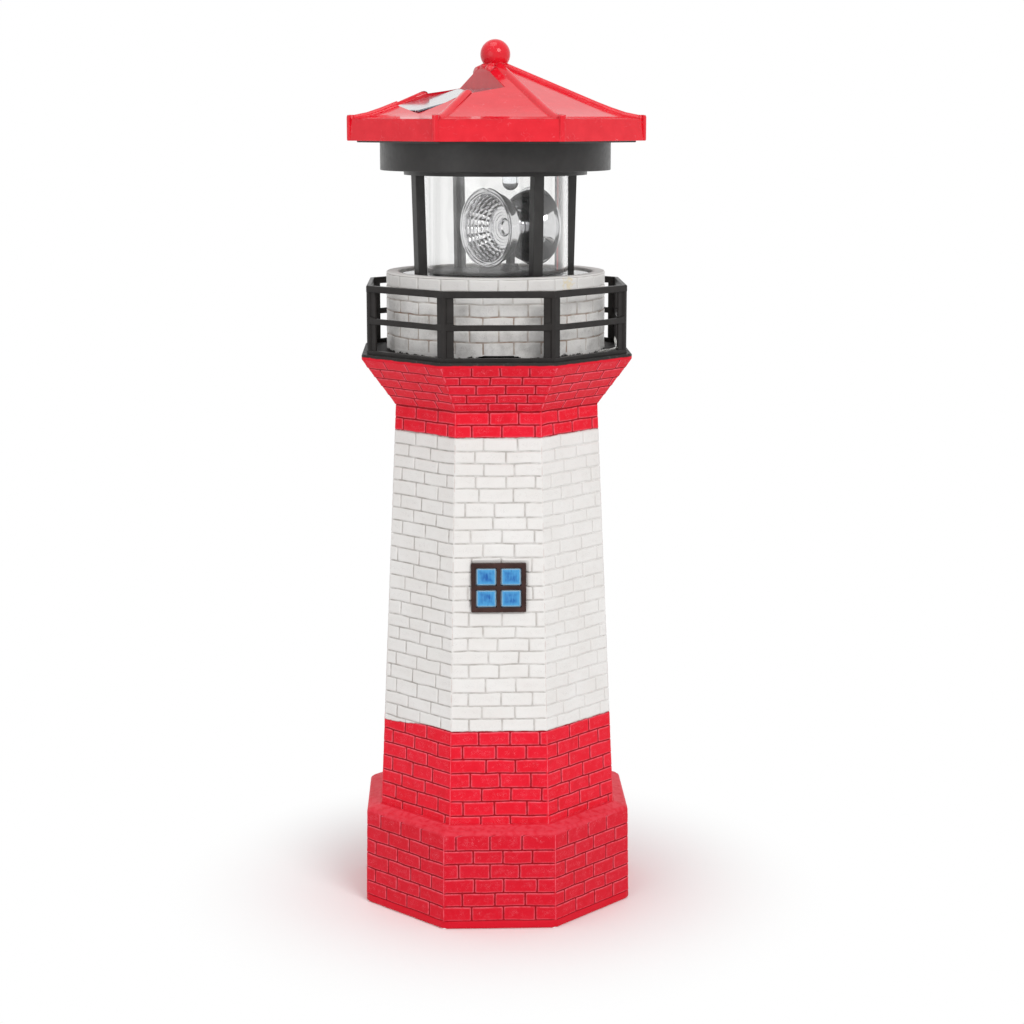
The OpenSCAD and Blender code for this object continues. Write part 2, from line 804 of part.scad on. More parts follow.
module gear_plate() {
    plate_edge_y = cell_y + cell_d / 2 - plate_over_cell;
    plate_cut_h = gear_plate_t + 2 * eps;
    color([0.85, 0.84, 0.80])
        difference() {
            intersection() {
                translate([0, 0, gear_plate_z])
                    cylinder(r = gear_plate_r, h = gear_plate_t, $fn = round_fn);
                translate([-cup_r, plate_edge_y, gear_plate_z - eps])
                    cube([2 * cup_r, 2 * cup_r, plate_cut_h]);
            }
            translate([spindle_at[0], spindle_at[1], gear_plate_z - eps])
                shaft_bore(2 * pivot_r, plate_cut_h);
            translate([idler_at[0], idler_at[1], gear_plate_z - eps])
                cylinder(d = axle_d, h = plate_cut_h, $fn = small_fn);
            translate([motor_at[0], motor_at[1], gear_plate_z - eps])
                cylinder(r = motor_boss_r + fit_gap, h = plate_cut_h, $fn = small_fn);
            for (p = plate_screw_at)
                translate([p[0], p[1], gear_plate_z - eps])
                    cylinder(r = screw_r + fit_gap, h = plate_cut_h, $fn = small_fn);
            for (dir = cover_screw_dirs)
                at_polar(cover_screw_r, dir)
                    translate([0, 0, gear_plate_z - eps])
                        cylinder(d = screw_post_d + 2 * fit_gap, h = plate_cut_h, $fn = small_fn);
            at_polar(lead_r, lead_dir)
                translate([0, 0, gear_plate_z - eps])
                    lead_slot(plate_cut_h);
        }
}

module plate_screws() {
    color([0.7, 0.7, 0.72])
        for (p = plate_screw_at)
            translate([p[0], p[1], gear_plate_z])
                screw_up(gear_plate_t + plate_thread_l);
}

module drive_motor() {
    color([0.75, 0.76, 0.78])
        translate([motor_at[0], motor_at[1], gear_plate_z - motor_l])
            difference() {
                union() {
                    cylinder(d = motor_d, h = motor_l, $fn = round_fn);
                    cylinder(r = motor_boss_r, h = motor_l + gear_plate_t, $fn = small_fn);
                }
                translate([0, 0, motor_l - motor_bore_l])
                    shaft_bore(motor_shaft_d, motor_bore_l + gear_plate_t + eps);
            }
}

module idler_axle() {
    color([0.7, 0.7, 0.72])
        translate([idler_at[0], idler_at[1], gear_plate_z])
            cylinder(d = axle_d, h = cup_ceiling - gear_plate_z - fit_gap, $fn = small_fn);
}

module switch_body() {
    color([0.75, 0.76, 0.78])
        difference() {
            translate([switch_at[0] - switch_l / 2, switch_at[1] - switch_w / 2, cover_z])
                cube([switch_l, switch_w, switch_h]);
            knob_track(cover_z - eps, knob_depth + knob_gap + eps);
        }
}

// ---------------------------------------------------------------- lantern

// One post, with its peg, placed on +X and leaning in toward its foot
module lantern_post() {
    intersection() {
        translate([post_foot_r, 0, cup_top])
            rotate([0, atan(post_lean / lantern_h), 0])
                translate([-post_t / 2, -post_w / 2, -post_t])
                    cube([post_t, post_w, lantern_h + 3 * post_t]);
        translate([0, -post_w, cup_top])
            cube([2 * post_top_r, 2 * post_w, lantern_h + eps]);
    }
    translate([post_foot_r, 0, cup_ceiling])
        cylinder(r = peg_r, h = cup_deck + peg_root, $fn = small_fn);
}

module lantern_frame() {
    screw_hole_l = frame_thread_l + hole_spare;
    color(black)
        difference() {
            union() {
                translate([0, 0, cap_z])
                    cylinder(r = cap_r, h = cap_t, $fn = round_fn);
                for (dir = post_dirs)
                    rotate([0, 0, dir])
                        lantern_post();
            }
            translate([spindle_x, 0, cap_z - eps])
                cylinder(d = led_d + 2 * fit_gap, h = cap_t + 2 * eps, $fn = small_fn);
            for (dir = post_dirs)
                at_polar(post_top_r, dir)
                    translate([0, 0, cap_z - screw_hole_l])
                        cylinder(r = screw_r, h = screw_hole_l + cap_t + eps, $fn = small_fn);
            at_polar(lead_r, lead_dir)
                translate([0, 0, cap_z - eps])
                    lead_slot(cap_t + 2 * eps);
        }
}

module frame_screws() {
    color([0.7, 0.7, 0.72])
        for (dir = post_dirs)
            at_polar(post_top_r, dir)
                translate([0, 0, housing_z + housing_wall])
                    mirror([0, 0, 1])
                        screw_up(housing_wall + cap_t + frame_thread_l);
}

module clear_tube() {
    color([0.85, 0.92, 0.95, 0.35])
        difference() {
            union() {
                ring(tube_r, tube_in, cup_top, lantern_h);
                ring(flange_r, tube_in, cup_top, tube_flange_t);
            }
            for (dir = post_dirs)
                rotate([0, 0, dir])
                    translate([post_foot_r - post_t / 2 - fit_gap, -post_w / 2 - fit_gap, cup_top - eps])
                        cube([flange_r, post_w + 2 * fit_gap, tube_flange_t + 2 * eps]);
            // Notch that lets the wires past, open to the post's own notch
            rotate([0, 0, lead_dir])
                translate([tube_r + fit_gap, -wire_pitch, cup_top - eps])
                    cube([post_gap + post_t / 2, 2 * wire_pitch, tube_flange_t + 2 * eps]);
        }
}

// ------------------------------------------------------- housing and roof

module lamp_housing() {
    color(black)
        difference() {
            union() {
                translate([0, 0, housing_z])
                    cylinder(r = housing_r, h = housing_h + plate_t, $fn = round_fn);
                eight_plate(roof_in - fit_gap, plate_z, plate_t);
            }
            translate([0, 0, housing_z + housing_wall])
                cylinder(r = housing_r - housing_wall, h = housing_h + plate_t, $fn = round_fn);
            translate([spindle_x, 0, housing_z - eps])
                cylinder(d = led_d + 2 * fit_gap, h = housing_wall + 2 * eps, $fn = small_fn);
            for (dir = post_dirs)
                at_polar(post_top_r, dir)
                    translate([0, 0, housing_z - eps])
                        cylinder(r = screw_r + fit_gap, h = housing_wall + 2 * eps, $fn = small_fn);
            for (dir = housing_screw_dirs)
                at_polar(housing_screw_r, dir)
                    translate([0, 0, plate_z - plate_cut])
                        sunk_screw_up(plate_t + 2 * eps, fit_gap);
            at_polar(lead_r, lead_dir)
                translate([0, 0, housing_z - eps])
                    lead_slot(housing_wall + 2 * eps);
        }
}

module housing_screws() {
    color(black)
        for (dir = housing_screw_dirs)
            at_polar(housing_screw_r, dir)
                translate([0, 0, plate_z])
                    sunk_screw_up(plate_t + housing_thread_l);
}

module circuit_board() {
    color([0.10, 0.38, 0.22])
        difference() {
            union() {
                translate([spindle_x - board_l / 2, -board_w / 2, board_z])
                    cube([board_l, board_w, board_t]);
                for (x = [-1, 1])
                    translate([spindle_x + x * (board_l / 2 - stand_margin), 0, led_flange_z])
                        cylinder(d = stand_d, h = stand_h + eps, $fn = small_fn);
            }
            for (y = [-1, 1])
                translate([spindle_x, y * led_leg_pitch / 2, board_z - eps])
                    cylinder(r = led_leg_r + led_leg_gap, h = board_t + 2 * eps, $fn = small_fn);
        }
}

module lamp_led() {
    dome_z = led_tip + led_d / 2;
    leg_z = led_flange_z + led_flange_t / 2;
    color([0.95, 0.97, 1, 0.6])
        translate([spindle_x, 0, 0]) {
            translate([0, 0, dome_z]) {
                sphere(d = led_d, $fn = small_fn);
                cylinder(d = led_d, h = led_flange_z - dome_z + led_flange_t / 2, $fn = small_fn);
            }
            translate([0, 0, led_flange_z])
                cylinder(d = led_d + 2 * led_flange_w, h = led_flange_t, $fn = small_fn);
            for (y = [-1, 1])
                translate([0, y * led_leg_pitch / 2, leg_z])
                    cylinder(r = led_leg_r, h = board_z + board_t + led_leg_end - leg_z, $fn = small_fn);
        }
}

// Path of a corner rib, given as distance from the axis and height
function rib_path() =
    [for (i = [0 : roof_steps])
        let (rib_l = roof_w / 2 - skirt_draft - rib_end_inset - rib_start,
            a = rib_start + rib_l * i / roof_steps)
        [a * corner, roof_z + roof_height(a) + rib_proud - rib_w / 2]];

// One cross-section of a rib: a half round above its centre and a stem below it
function rib_ring(p) = concat(
    [for (k = [0 : rib_sides])
        [p[0], rib_w / 2 * cos(180 * k / rib_sides), p[1] + rib_w / 2 * sin(180 * k / rib_sides)]],
    [[p[0], -rib_w / 2, p[1] - rib_proud], [p[0], rib_w / 2, p[1] - rib_proud]]);

// A corner rib on +X, lofted through its cross-sections
module roof_rib() {
    path = rib_path();
    polyhedron(
        points = [for (p = path) for (q = rib_ring(p)) q],
        faces = loft_faces(len(path), rib_sides + 3));
}

// The space over the pocket's floor, and down through it by an extra depth
module pocket_space(start, end, width, depth) {
    run = end - start;
    start_z = pocket_start_z - (start - pocket_start) * tan(pocket_tilt) - depth;
    top_z = peak_z + ball_r;
    end_z = start_z - run * tan(pocket_tilt);
    rotate([90, 0, pocket_dir])
        linear_extrude(height = width, center = true)
            polygon([[start, start_z], [end, end_z], [end, top_z], [start, top_z]]);
}

module roof() {
    half = roof_w / 2;
    under = roof_t / cos(atan(roof_rise / half));
    backing = panel_t + pocket_floor;
    boss_top = roof_z + roof_height(housing_screw_r) - roof_t / 2;
    color(gloss_red)
        difference() {
            union() {
                difference() {
                    eight_sided(concat([[half, roof_z]], roof_section(half - skirt_draft, 0)));
                    eight_sided(concat([[roof_in, roof_z - eps]], roof_section(roof_in, under)));
                }
                // Tray under the solar panel
                intersection() {
                    eight_sided(concat([[half, roof_z]], roof_section(half - skirt_draft, 0)));
                    pocket_space(pocket_start - roof_t, pocket_end + roof_t, pocket_w + 2 * roof_t, backing);
                }
                for (k = [0 : 7])
                    rotate([0, 0, 22.5 + 45 * k]) {
                        roof_rib();
                        translate([(half - skirt_draft - nib_r) * corner, 0, roof_z])
                            cylinder(r = nib_r, h = skirt_h + nib_h, $fn = small_fn);
                    }
                // Screw bosses under the eaves
                for (dir = housing_screw_dirs)
                    at_polar(housing_screw_r, dir)
                        translate([0, 0, plate_z + plate_t])
                            cylinder(d = screw_post_d, h = boss_top - plate_z - plate_t, $fn = small_fn);
                // Neck and ball of the finial
                translate([0, 0, peak_z - neck_root])
                    cylinder(r = neck_r, h = ball_rise + neck_root, $fn = small_fn);
                translate([0, 0, peak_z + ball_rise])
                    sphere(r = ball_r, $fn = round_fn);
            }
            pocket_space(pocket_start, pocket_end, pocket_w, 0);
            pocket_space(panel_start - panel_gap, panel_end + panel_gap,
                panel_w + 2 * panel_gap, panel_t + panel_bed);
            for (dir = housing_screw_dirs)
                at_polar(housing_screw_r, dir)
                    translate([0, 0, plate_z + plate_t - eps])
                        cylinder(r = screw_r, h = housing_thread_l + hole_spare + eps, $fn = small_fn);
        }
}

module solar_panel() {
    color([0.10, 0.11, 0.16])
        difference() {
            pocket_space(panel_start, panel_end, panel_w, panel_t);
            pocket_space(panel_start - eps, panel_end + eps, panel_w + 2 * eps, 0);
        }
}

// A wire from the base cup up to the lamp housing, beside the back right post
module lead(side) {
    at_polar(lead_r, lead_dir)
        translate([0, side * wire_pitch / 2, gear_plate_z - lead_tail])
            cylinder(d = wire_d, h = board_z - gear_plate_z + lead_tail, $fn = small_fn);
}

module red_lead() {
    color([0.80, 0.10, 0.12])
        lead(-1);
}

module black_lead() {
    color(black)
        lead(1);
}

// ----------------------------------------------------------------- beacon

// Radius inside a bowl at a share of its depth, from the eye to the rim
function bowl_radius(share, eye, rim) = eye + (rim - eye) * sin(90 * share);
function bowl_reach(share, depth) = depth * (1 - cos(90 * share));

// Outer section of half the reflector: distance from the axis, distance from the waist's middle
function reflector_section() = concat(
    [[0, 0], [waist_d / 2, 0]],
    [for (i = [0 : bowl_steps])
        let (s = i / bowl_steps)
        [bowl_radius(s, waist_d / 2, rim_r - lip_w), waist_l / 2 + bowl_reach(s, bowl_depth - lip_t)]],
    [[rim_r, reflector_l / 2 - lip_t], [rim_r, reflector_l / 2], [0, reflector_l / 2]]);

// The hollow of a bowl: rings of flat mirror facets that step down to an eye
module bowl_hollow() {
    hollow_depth = reflector_l / 2 - bowl_start;
    mouth_r = rim_r - lip_w - reflector_t * 0.6;
    rings = [for (j = [0 : facet_rings])
        let (share = j / facet_rings)
        [bowl_radius(share, bowl_eye_r, mouth_r), bowl_start + bowl_reach(share, hollow_depth)]];
    top = concat(rings, [[mouth_r, reflector_l / 2 + eps]]);
    polyhedron(
        points = [for (r = top) for (k = [0 : facet_count - 1])
            [r[0] * cos(360 * k / facet_count), r[0] * sin(360 * k / facet_count), r[1]]],
        faces = loft_faces(len(top), facet_count));
}

module reflector() {
    socket_h = socket_peg_h + fit_gap;
    color([0.80, 0.81, 0.83])
        translate([spindle_x, 0, reflector_z])
            rotate([0, 90, beacon_turn])
                difference() {
                    union() {
                        rotate_extrude($fn = round_fn)
                            polygon(reflector_section());
                        mirror([0, 0, 1])
                            rotate_extrude($fn = round_fn)
                                polygon(reflector_section());
                    }
                    bowl_hollow();
                    mirror([0, 0, 1])
                        bowl_hollow();
                    // Socket that the spindle's peg plugs into
                    translate([waist_d / 2 - socket_h, 0, 0])
                        rotate([0, 90, 0])
                            cylinder(r = socket_peg_r + pin_gap, h = socket_h + eps, $fn = small_fn);
                }
}

// Wheel, spindle and pedestal in one moulding
module reflector_spindle() {
    pedestal_top = reflector_z - waist_d / 2;
    pedestal_foot = stage_top + pedestal_gap;
    shoulder_z = gear_plate_top + shoulder_gap;
    shoulder_r = pivot_r + shoulder_w;
    flared_d = spindle_d + 2 * pedestal_flare;
    color(black)
        translate([spindle_x, 0, 0]) {
            // Pivot in the gear plate
            translate([0, 0, gear_plate_z])
                cylinder(r = pivot_r, h = upper_gear_z - gear_plate_z + eps, $fn = small_fn);
            // Shoulder that spaces the wheel from the plate
            translate([0, 0, shoulder_z])
                cylinder(r = shoulder_r, h = upper_gear_z - shoulder_z, $fn = small_fn);
            translate([0, 0, upper_gear_z])
                rotate([0, 0, idler_dir])
                    spur_gear(wheel_teeth, gear_t);
            translate([0, 0, upper_gear_z])
                cylinder(d = spindle_d, h = reflector_z - rim_r - rim_gap - upper_gear_z, $fn = small_fn);
            translate([0, 0, pedestal_foot])
                cylinder(d1 = flared_d, d2 = spindle_d, h = pedestal_flare_h, $fn = small_fn);
            // Neck that rises between the bowls, and the peg that plugs into the waist
            translate([0, 0, stage_top])
                cylinder(r = waist_l / 2 - neck_gap, h = pedestal_top - stage_top, $fn = small_fn);
            translate([0, 0, pedestal_top - eps])
                cylinder(r = socket_peg_r, h = socket_peg_h + eps, $fn = small_fn);
        }
}

module idler_gear() {
    stack_h = cup_ceiling - layer_gap - lower_gear_z;
    color([0.93, 0.93, 0.90])
        translate([idler_at[0], idler_at[1], 0])
            difference() {
                union() {
                    translate([0, 0, lower_gear_z])
                        rotate([0, 0, motor_dir])
                            spur_gear(idler_teeth, gear_t);
                    translate([0, 0, lower_gear_z])
                        rotate([0, 0, idler_dir + 180])
                            spur_gear(pinion_teeth, stack_h, gap_on_x = true);
                }
                translate([0, 0, lower_gear_z - eps])
                    shaft_bore(axle_d, stack_h + 2 * eps);
            }
}

module motor_pinion() {
    color([0.80, 0.66, 0.32])
        translate([motor_at[0], motor_at[1], lower_gear_z])
            difference() {
                rotate([0, 0, motor_dir + 180])
                    spur_gear(pinion_teeth, gear_t + layer_gap, gap_on_x = true);
                translate([0, 0, -eps])
                    cylinder(d = motor_shaft_d, h = gear_t + layer_gap + 2 * eps, $fn = small_fn);
            }
}

module motor_shaft() {
    foot_z = gear_plate_z - motor_bore_l + shaft_end_gap;
    color([0.7, 0.7, 0.72])
        translate([motor_at[0], motor_at[1], foot_z])
            cylinder(d = motor_shaft_d, h = lower_gear_z + gear_t + layer_gap - foot_z, $fn = small_fn);
}

// At rest the knob is at the left end of its travel
module switch_knob() {
    knob_x = switch_at[0] - (knob_l + switch_travel) / 2;
    color([0.9, 0.9, 0.88])
        translate([knob_x, switch_at[1] - knob_w / 2, socket_z - knob_drop])
            cube([knob_l, knob_w, knob_drop + cover_t + knob_depth]);
}

tower_casting();
gallery_railing();
window_frame();
window_panes();
base_cup();
base_cover();
cover_screws();
battery();
battery_contacts();
gear_plate();
plate_screws();
drive_motor();
idler_axle();
switch_body();
lantern_frame();
frame_screws();
clear_tube();
lamp_housing();
housing_screws();
circuit_board();
lamp_led();
roof();
solar_panel();
red_lead();
black_lead();
reflector();
reflector_spindle();
idler_gear();
motor_pinion();
motor_shaft();
switch_knob();
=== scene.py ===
from math import atan, atan2, cos, hypot, pi, radians, sin, sqrt, tan

import bmesh
import bpy
import numpy as np
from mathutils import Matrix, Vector
from mathutils.bvhtree import BVHTree


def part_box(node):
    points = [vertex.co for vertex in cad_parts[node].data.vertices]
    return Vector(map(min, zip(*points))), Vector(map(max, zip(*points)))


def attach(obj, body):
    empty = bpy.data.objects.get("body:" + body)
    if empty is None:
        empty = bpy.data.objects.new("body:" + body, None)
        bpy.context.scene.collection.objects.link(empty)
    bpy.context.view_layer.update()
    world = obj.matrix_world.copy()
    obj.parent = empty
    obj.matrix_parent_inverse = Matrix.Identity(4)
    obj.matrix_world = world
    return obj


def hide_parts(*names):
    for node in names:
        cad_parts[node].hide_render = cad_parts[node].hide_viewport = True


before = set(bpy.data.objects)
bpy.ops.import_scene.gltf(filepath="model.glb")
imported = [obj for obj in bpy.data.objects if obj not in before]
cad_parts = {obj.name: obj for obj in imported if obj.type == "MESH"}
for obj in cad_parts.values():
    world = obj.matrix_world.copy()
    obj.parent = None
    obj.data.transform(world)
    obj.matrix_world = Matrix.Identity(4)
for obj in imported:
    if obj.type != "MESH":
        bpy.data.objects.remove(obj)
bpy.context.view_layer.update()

MM = 0.001

# ---- CAD dimensions, in millimetres, and angles in radians

PLINTH_W, PLINTH_TOP_W, PLINTH_H = 84.0, 83.0, 31.2
LEDGE_Z = 32.0
SHAFT_W, NECK_W, NECK_Z = 73.9, 62.3, 159.7
DECK_W, FLARE_TOP, DECK_TOP = 82.6, 174.0, 175.6
DRUM_R, DRUM_TOP, SOCKET_R = 34.0, 199.8, 30.0
SOCKET_Z, SEAT_R, SEAT_UNDER = 172.0, 25.0, 169.0
WINDOW_Z, WINDOW_W, WINDOW_H = 106.3, 17.1, 15.4
WINDOW_RECESS, FRAME_BAR, MUNTIN = 1.0, 1.65, 1.25
SKIRT_A, SKIRT_LOW, SKIRT_TOP = 44.5, 239.7, 246.1
POCKET_DIR, POCKET_TILT = radians(202.5), radians(14)

# Half an eight-sided ring's side, and its corners' distance, for each millimetre of its apothem
HALF_TURN = tan(radians(22.5))
CORNER_OUT = 1 / cos(radians(22.5))

# ---- helpers


def smooth(lo, hi, x):
    t = np.clip((np.asarray(x, float) - lo) / (hi - lo), 0, 1)
    return t * t * (3 - 2 * t)


class Noise:
    """Smooth value noise on a seeded lattice."""

    def __init__(self, seed):
        self.table = np.random.RandomState(seed).uniform(-1, 1, (64, 64))

    def __call__(self, x, y):
        x, y = np.asarray(x, float), np.asarray(y, float)
        ix, iy = np.floor(x).astype(int), np.floor(y).astype(int)
        fx, fy = x - ix, y - iy
        fx, fy = fx * fx * (3 - 2 * fx), fy * fy * (3 - 2 * fy)
        t = self.table
        a, b = t[ix % 64, iy % 64], t[(ix + 1) % 64, iy % 64]
        c, d = t[ix % 64, (iy + 1) % 64], t[(ix + 1) % 64, (iy + 1) % 64]
        return (a * (1 - fx) + b * fx) * (1 - fy) + (c * (1 - fx) + d * fx) * fy


def linked(name, data):
    obj = bpy.data.objects.new(name, data)
    bpy.context.scene.collection.objects.link(obj)
    return obj


def shade(mesh, sharp):
    mesh.shade_smooth()
    mesh.set_sharp_from_angle(angle=radians(sharp))


def set_mask(mesh, name, values):
    """A value at each point of a mesh, which a material can read."""
    mesh.attributes.new(name, "FLOAT", "POINT").data.foreach_set("value", values.astype(np.float32))


def dress(obj, material, body, replaced):
    """A piece's material, its body, the CAD node it stands for, if any."""
    obj.data.materials.clear()
    obj.data.materials.append(material)
    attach(obj, body)
    if replaced:
        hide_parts(replaced)


def new_object(name, verts, faces, sharp):
    """A mesh object from points in millimetres, smooth where its faces meet at less than sharp."""
    mesh = bpy.data.meshes.new(name)
    mesh.from_pydata([tuple(v) for v in np.asarray(verts, float) * MM], [], faces)
    mesh.validate()
    shade(mesh, sharp)
    return linked(name, mesh)


def face_outwards(obj):
    bm = bmesh.new()
    bm.from_mesh(obj.data)
    bmesh.ops.recalc_face_normals(bm, faces=bm.faces)
    bm.to_mesh(obj.data)
    bm.free()


def ring_faces(rings, n, first=0, around=False):
    """Faces between rings of n points each. around joins the last ring to the first one."""
    faces = []
    for i in range(rings if around else rings - 1):
        a, b = first + i * n, first + (i + 1) % rings * n
        faces += [(a + j, a + (j + 1) % n, b + (j + 1) % n, b + j) for j in range(n)]
    return faces


def end_faces(rings, n, first=0):
    """The two faces that close a run of rings of n points each."""
    last = first + n * (rings - 1)
    return [tuple(range(first + n - 1, first - 1, -1)), tuple(range(last, last + n))]


BEVEL_STEPS, BEVEL_FROM, SOFT_SHARP = 3, radians(25), 35


def lift_face(bm, shift):
    """Moves the face that looks along shift by it, in metres."""
    along = shift.normalized()
    reach = max(v.co.dot(along) for v in bm.verts) - 0.05 * MM
    for v in [v for v in bm.verts if v.co.dot(along) > reach]:
        v.co += shift


def round_edges(bm, width, shortest):
    """Rounds over the edges that are longer than shortest, both in metres."""
    surface = BVHTree.FromBMesh(bm)
    edges = [e for e in bm.edges if len(e.link_faces) == 2
             and e.calc_face_angle() > BEVEL_FROM and e.calc_length() > shortest]
    bmesh.ops.bevel(bm, geom=edges, offset=width, segments=BEVEL_STEPS, profile=0.5,
                    affect="EDGES", clamp_overlap=False)
    bmesh.ops.remove_doubles(bm, verts=bm.verts, dist=1e-6)
    bmesh.ops.triangulate(bm, faces=[f for f in bm.faces if len(f.verts) > 4])
    # A point that the bevel threw off the surface goes back among its neighbours
    stray = {v for v in bm.verts if surface.find_nearest(v.co)[3] > width}
    for v in stray:
        near = [e.other_vert(v).co for e in v.link_edges if e.other_vert(v) not in stray]
        v.co = sum(near, Vector()) / len(near) if near else surface.find_nearest(v.co)[0]


def softened(name, node, width, material, body, shortest=1.0, lift=None, added=()):
    """A copy of a CAD node with its edges rounded over, which replaces the node. Edges shorter
    than shortest stay sharp, since rounded ones would run into each other. lift moves the face
    that looks its way. added holds closed pieces that are moulded onto it, each of points and
    faces. All are in millimetres."""
    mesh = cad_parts[node].data.copy()
    mesh.name = name
    bm = bmesh.new()
    bm.from_mesh(mesh)
    bmesh.ops.remove_doubles(bm, verts=bm.verts, dist=2e-6)
    bmesh.ops.dissolve_limit(bm, angle_limit=radians(1), verts=bm.verts, edges=bm.edges)
    if lift:
        lift_face(bm, Vector(lift) * MM)
    round_edges(bm, width * MM, shortest * MM)
    for points, faces in added:
        corners = [bm.verts.new([v * MM for v in p]) for p in points]
        for face in faces:
            bm.faces.new([corners[i] for i in face])
    bm.to_mesh(mesh)
    bm.free()
    shade(mesh, SOFT_SHARP)
    obj = linked(name, mesh)
    obj.modifiers.new("weighted_normals", "WEIGHTED_NORMAL").keep_sharp = True
    dress(obj, material, body, node)


# ---- camera

# Fitted to the corners of the plinth, shaft, deck and drum in the photograph
CAMERA_AT = (-14.97, -645.85, 246.5)
LENS, TILT, PAN = 72.70, radians(-10.80), radians(-1.78)
camera_data = bpy.data.cameras.new("photo_camera")
camera_data.sensor_width = 36
camera_data.lens = LENS
camera_data.clip_start = 0.05
camera_data.clip_end = 20
camera = linked("photo_camera", camera_data)
camera.location = [v * MM for v in CAMERA_AT]
camera.rotation_euler = (pi / 2 + TILT, 0, PAN)
bpy.context.scene.camera = camera

# ---- materials


class Nodes:
    """A short hand for building the node tree of a material or of the world."""

    def __init__(self, owner, output="ShaderNodeOutputMaterial"):
        self.owner = owner
        owner.use_nodes = True
        self.tree = owner.node_tree
        self.tree.nodes.clear()
        self.out = self.add(output)
        self.coords = None

    def add(self, kind, **values):
        node = self.tree.nodes.new(kind)
        for key, value in values.items():
            setattr(node, key, value)
        return node

    def link(self, a, b):
        self.tree.links.new(a, b)

    def put(self, socket, value):
        """Sets a socket to a number or colour, or links it."""
        if isinstance(value, bpy.types.NodeSocket):
            self.link(value, socket)
        elif isinstance(value, (tuple, list)) and len(value) == 3 and socket.type == "RGBA":
            socket.default_value = (*value, 1)
        else:
            socket.default_value = value

    def made(self, kind, result, inputs, **values):
        """Adds a node, sets its inputs, and gives one of its results."""
        node = self.add(kind, **values)
        for key, value in inputs.items():
            self.put(node.inputs[key], value)
        return node.outputs[result]

    def place(self):
        if self.coords is None:
            self.coords = self.add("ShaderNodeTexCoord").outputs["Object"]
        return self.coords

    def split(self, vector):
        node = self.add("ShaderNodeSeparateXYZ")
        self.link(vector, node.inputs[0])
        return node.outputs

    def mapped(self, **values):
        return self.made("ShaderNodeMapping", "Vector", {"Vector": self.place(), **values})

    def noise(self, size, detail=4, rough=0.55, vector=None, distortion=0.0):
        """Noise whose grains are about `size` millimetres; gives its value."""
        return self.made("ShaderNodeTexNoise", "Fac", {
            "Vector": vector or self.place(), "Scale": 1 / (size * MM), "Detail": detail,
            "Roughness": rough, "Distortion": distortion})

    def ramp(self, value, lo, hi, low=0.0, high=1.0, shape="LINEAR"):
        return self.made("ShaderNodeMapRange", "Result", {
            "Value": value, "From Min": lo, "From Max": hi, "To Min": low, "To Max": high},
            interpolation_type=shape)

    def math(self, kind, a, b=0.0):
        return self.made("ShaderNodeMath", 0, {0: a, 1: b}, operation=kind)

    def times(self, a, b):
        return self.math("MULTIPLY", a, b)

    def most(self, a, b):
        return self.math("MAXIMUM", a, b)

    def off(self, value, middle):
        """How far a value is from a middle."""
        return self.math("ABSOLUTE", self.math("SUBTRACT", value, middle))

    def mix(self, factor, a, b):
        return self.made("ShaderNodeMix", 2, {0: factor, 6: a, 7: b}, data_type="RGBA")

    def shaders(self, factor, a, b):
        return self.made("ShaderNodeMixShader", 0, {0: factor, 1: a, 2: b})

    def attribute(self, name):
        return self.add("ShaderNodeAttribute", attribute_name=name).outputs["Fac"]

    def bump(self, height, distance, strength):
        return self.made("ShaderNodeBump", "Normal", {
            "Height": height, "Distance": distance * MM, "Strength": strength})

    def finish(self, **values):
        """Adds the Principled shader with the given sockets, and returns the material."""
        values = {key.replace("_", " "): value for key, value in values.items()}
        self.link(self.made("ShaderNodeBsdfPrincipled", 0, values), self.out.inputs[0])
        return self.owner


def material_nodes(name):
    return Nodes(bpy.data.materials.new(name))


# Reds that differ at random, and a darker red of painted shade for the plinth and the flare
RED_DEEP, RED_PALE, RED_SHADED = (0.78, 0.003, 0.018), (0.82, 0.009, 0.031), (0.55, 0.003, 0.017)
# Paler pink for the bricks' edges and the tower's corners, and dark red for the joints
RED_PALER_EDGE, RED_JOINT = (0.97, 0.19, 0.25), (0.30, 0.0015, 0.008)
# Middle of a smear on the drum's rim
GLUE_SMEAR = (21.5, -27.0, 197.6)


def paint_marks(n, cloud, middle):
    """Short curled scratches, and pits, in the middle of a brick."""
    fleck = n.noise(0.55, 3, 0.7)
    line = n.ramp(n.off(n.noise(0.85, 2, 0.5, distortion=2.2), 0.5), 0.006, 0.024, 1, 0)
    marks = n.times(n.times(line, middle), n.ramp(cloud, 0.46, 0.56))
    return marks, n.times(n.ramp(fleck, 0.66, 0.74), middle)


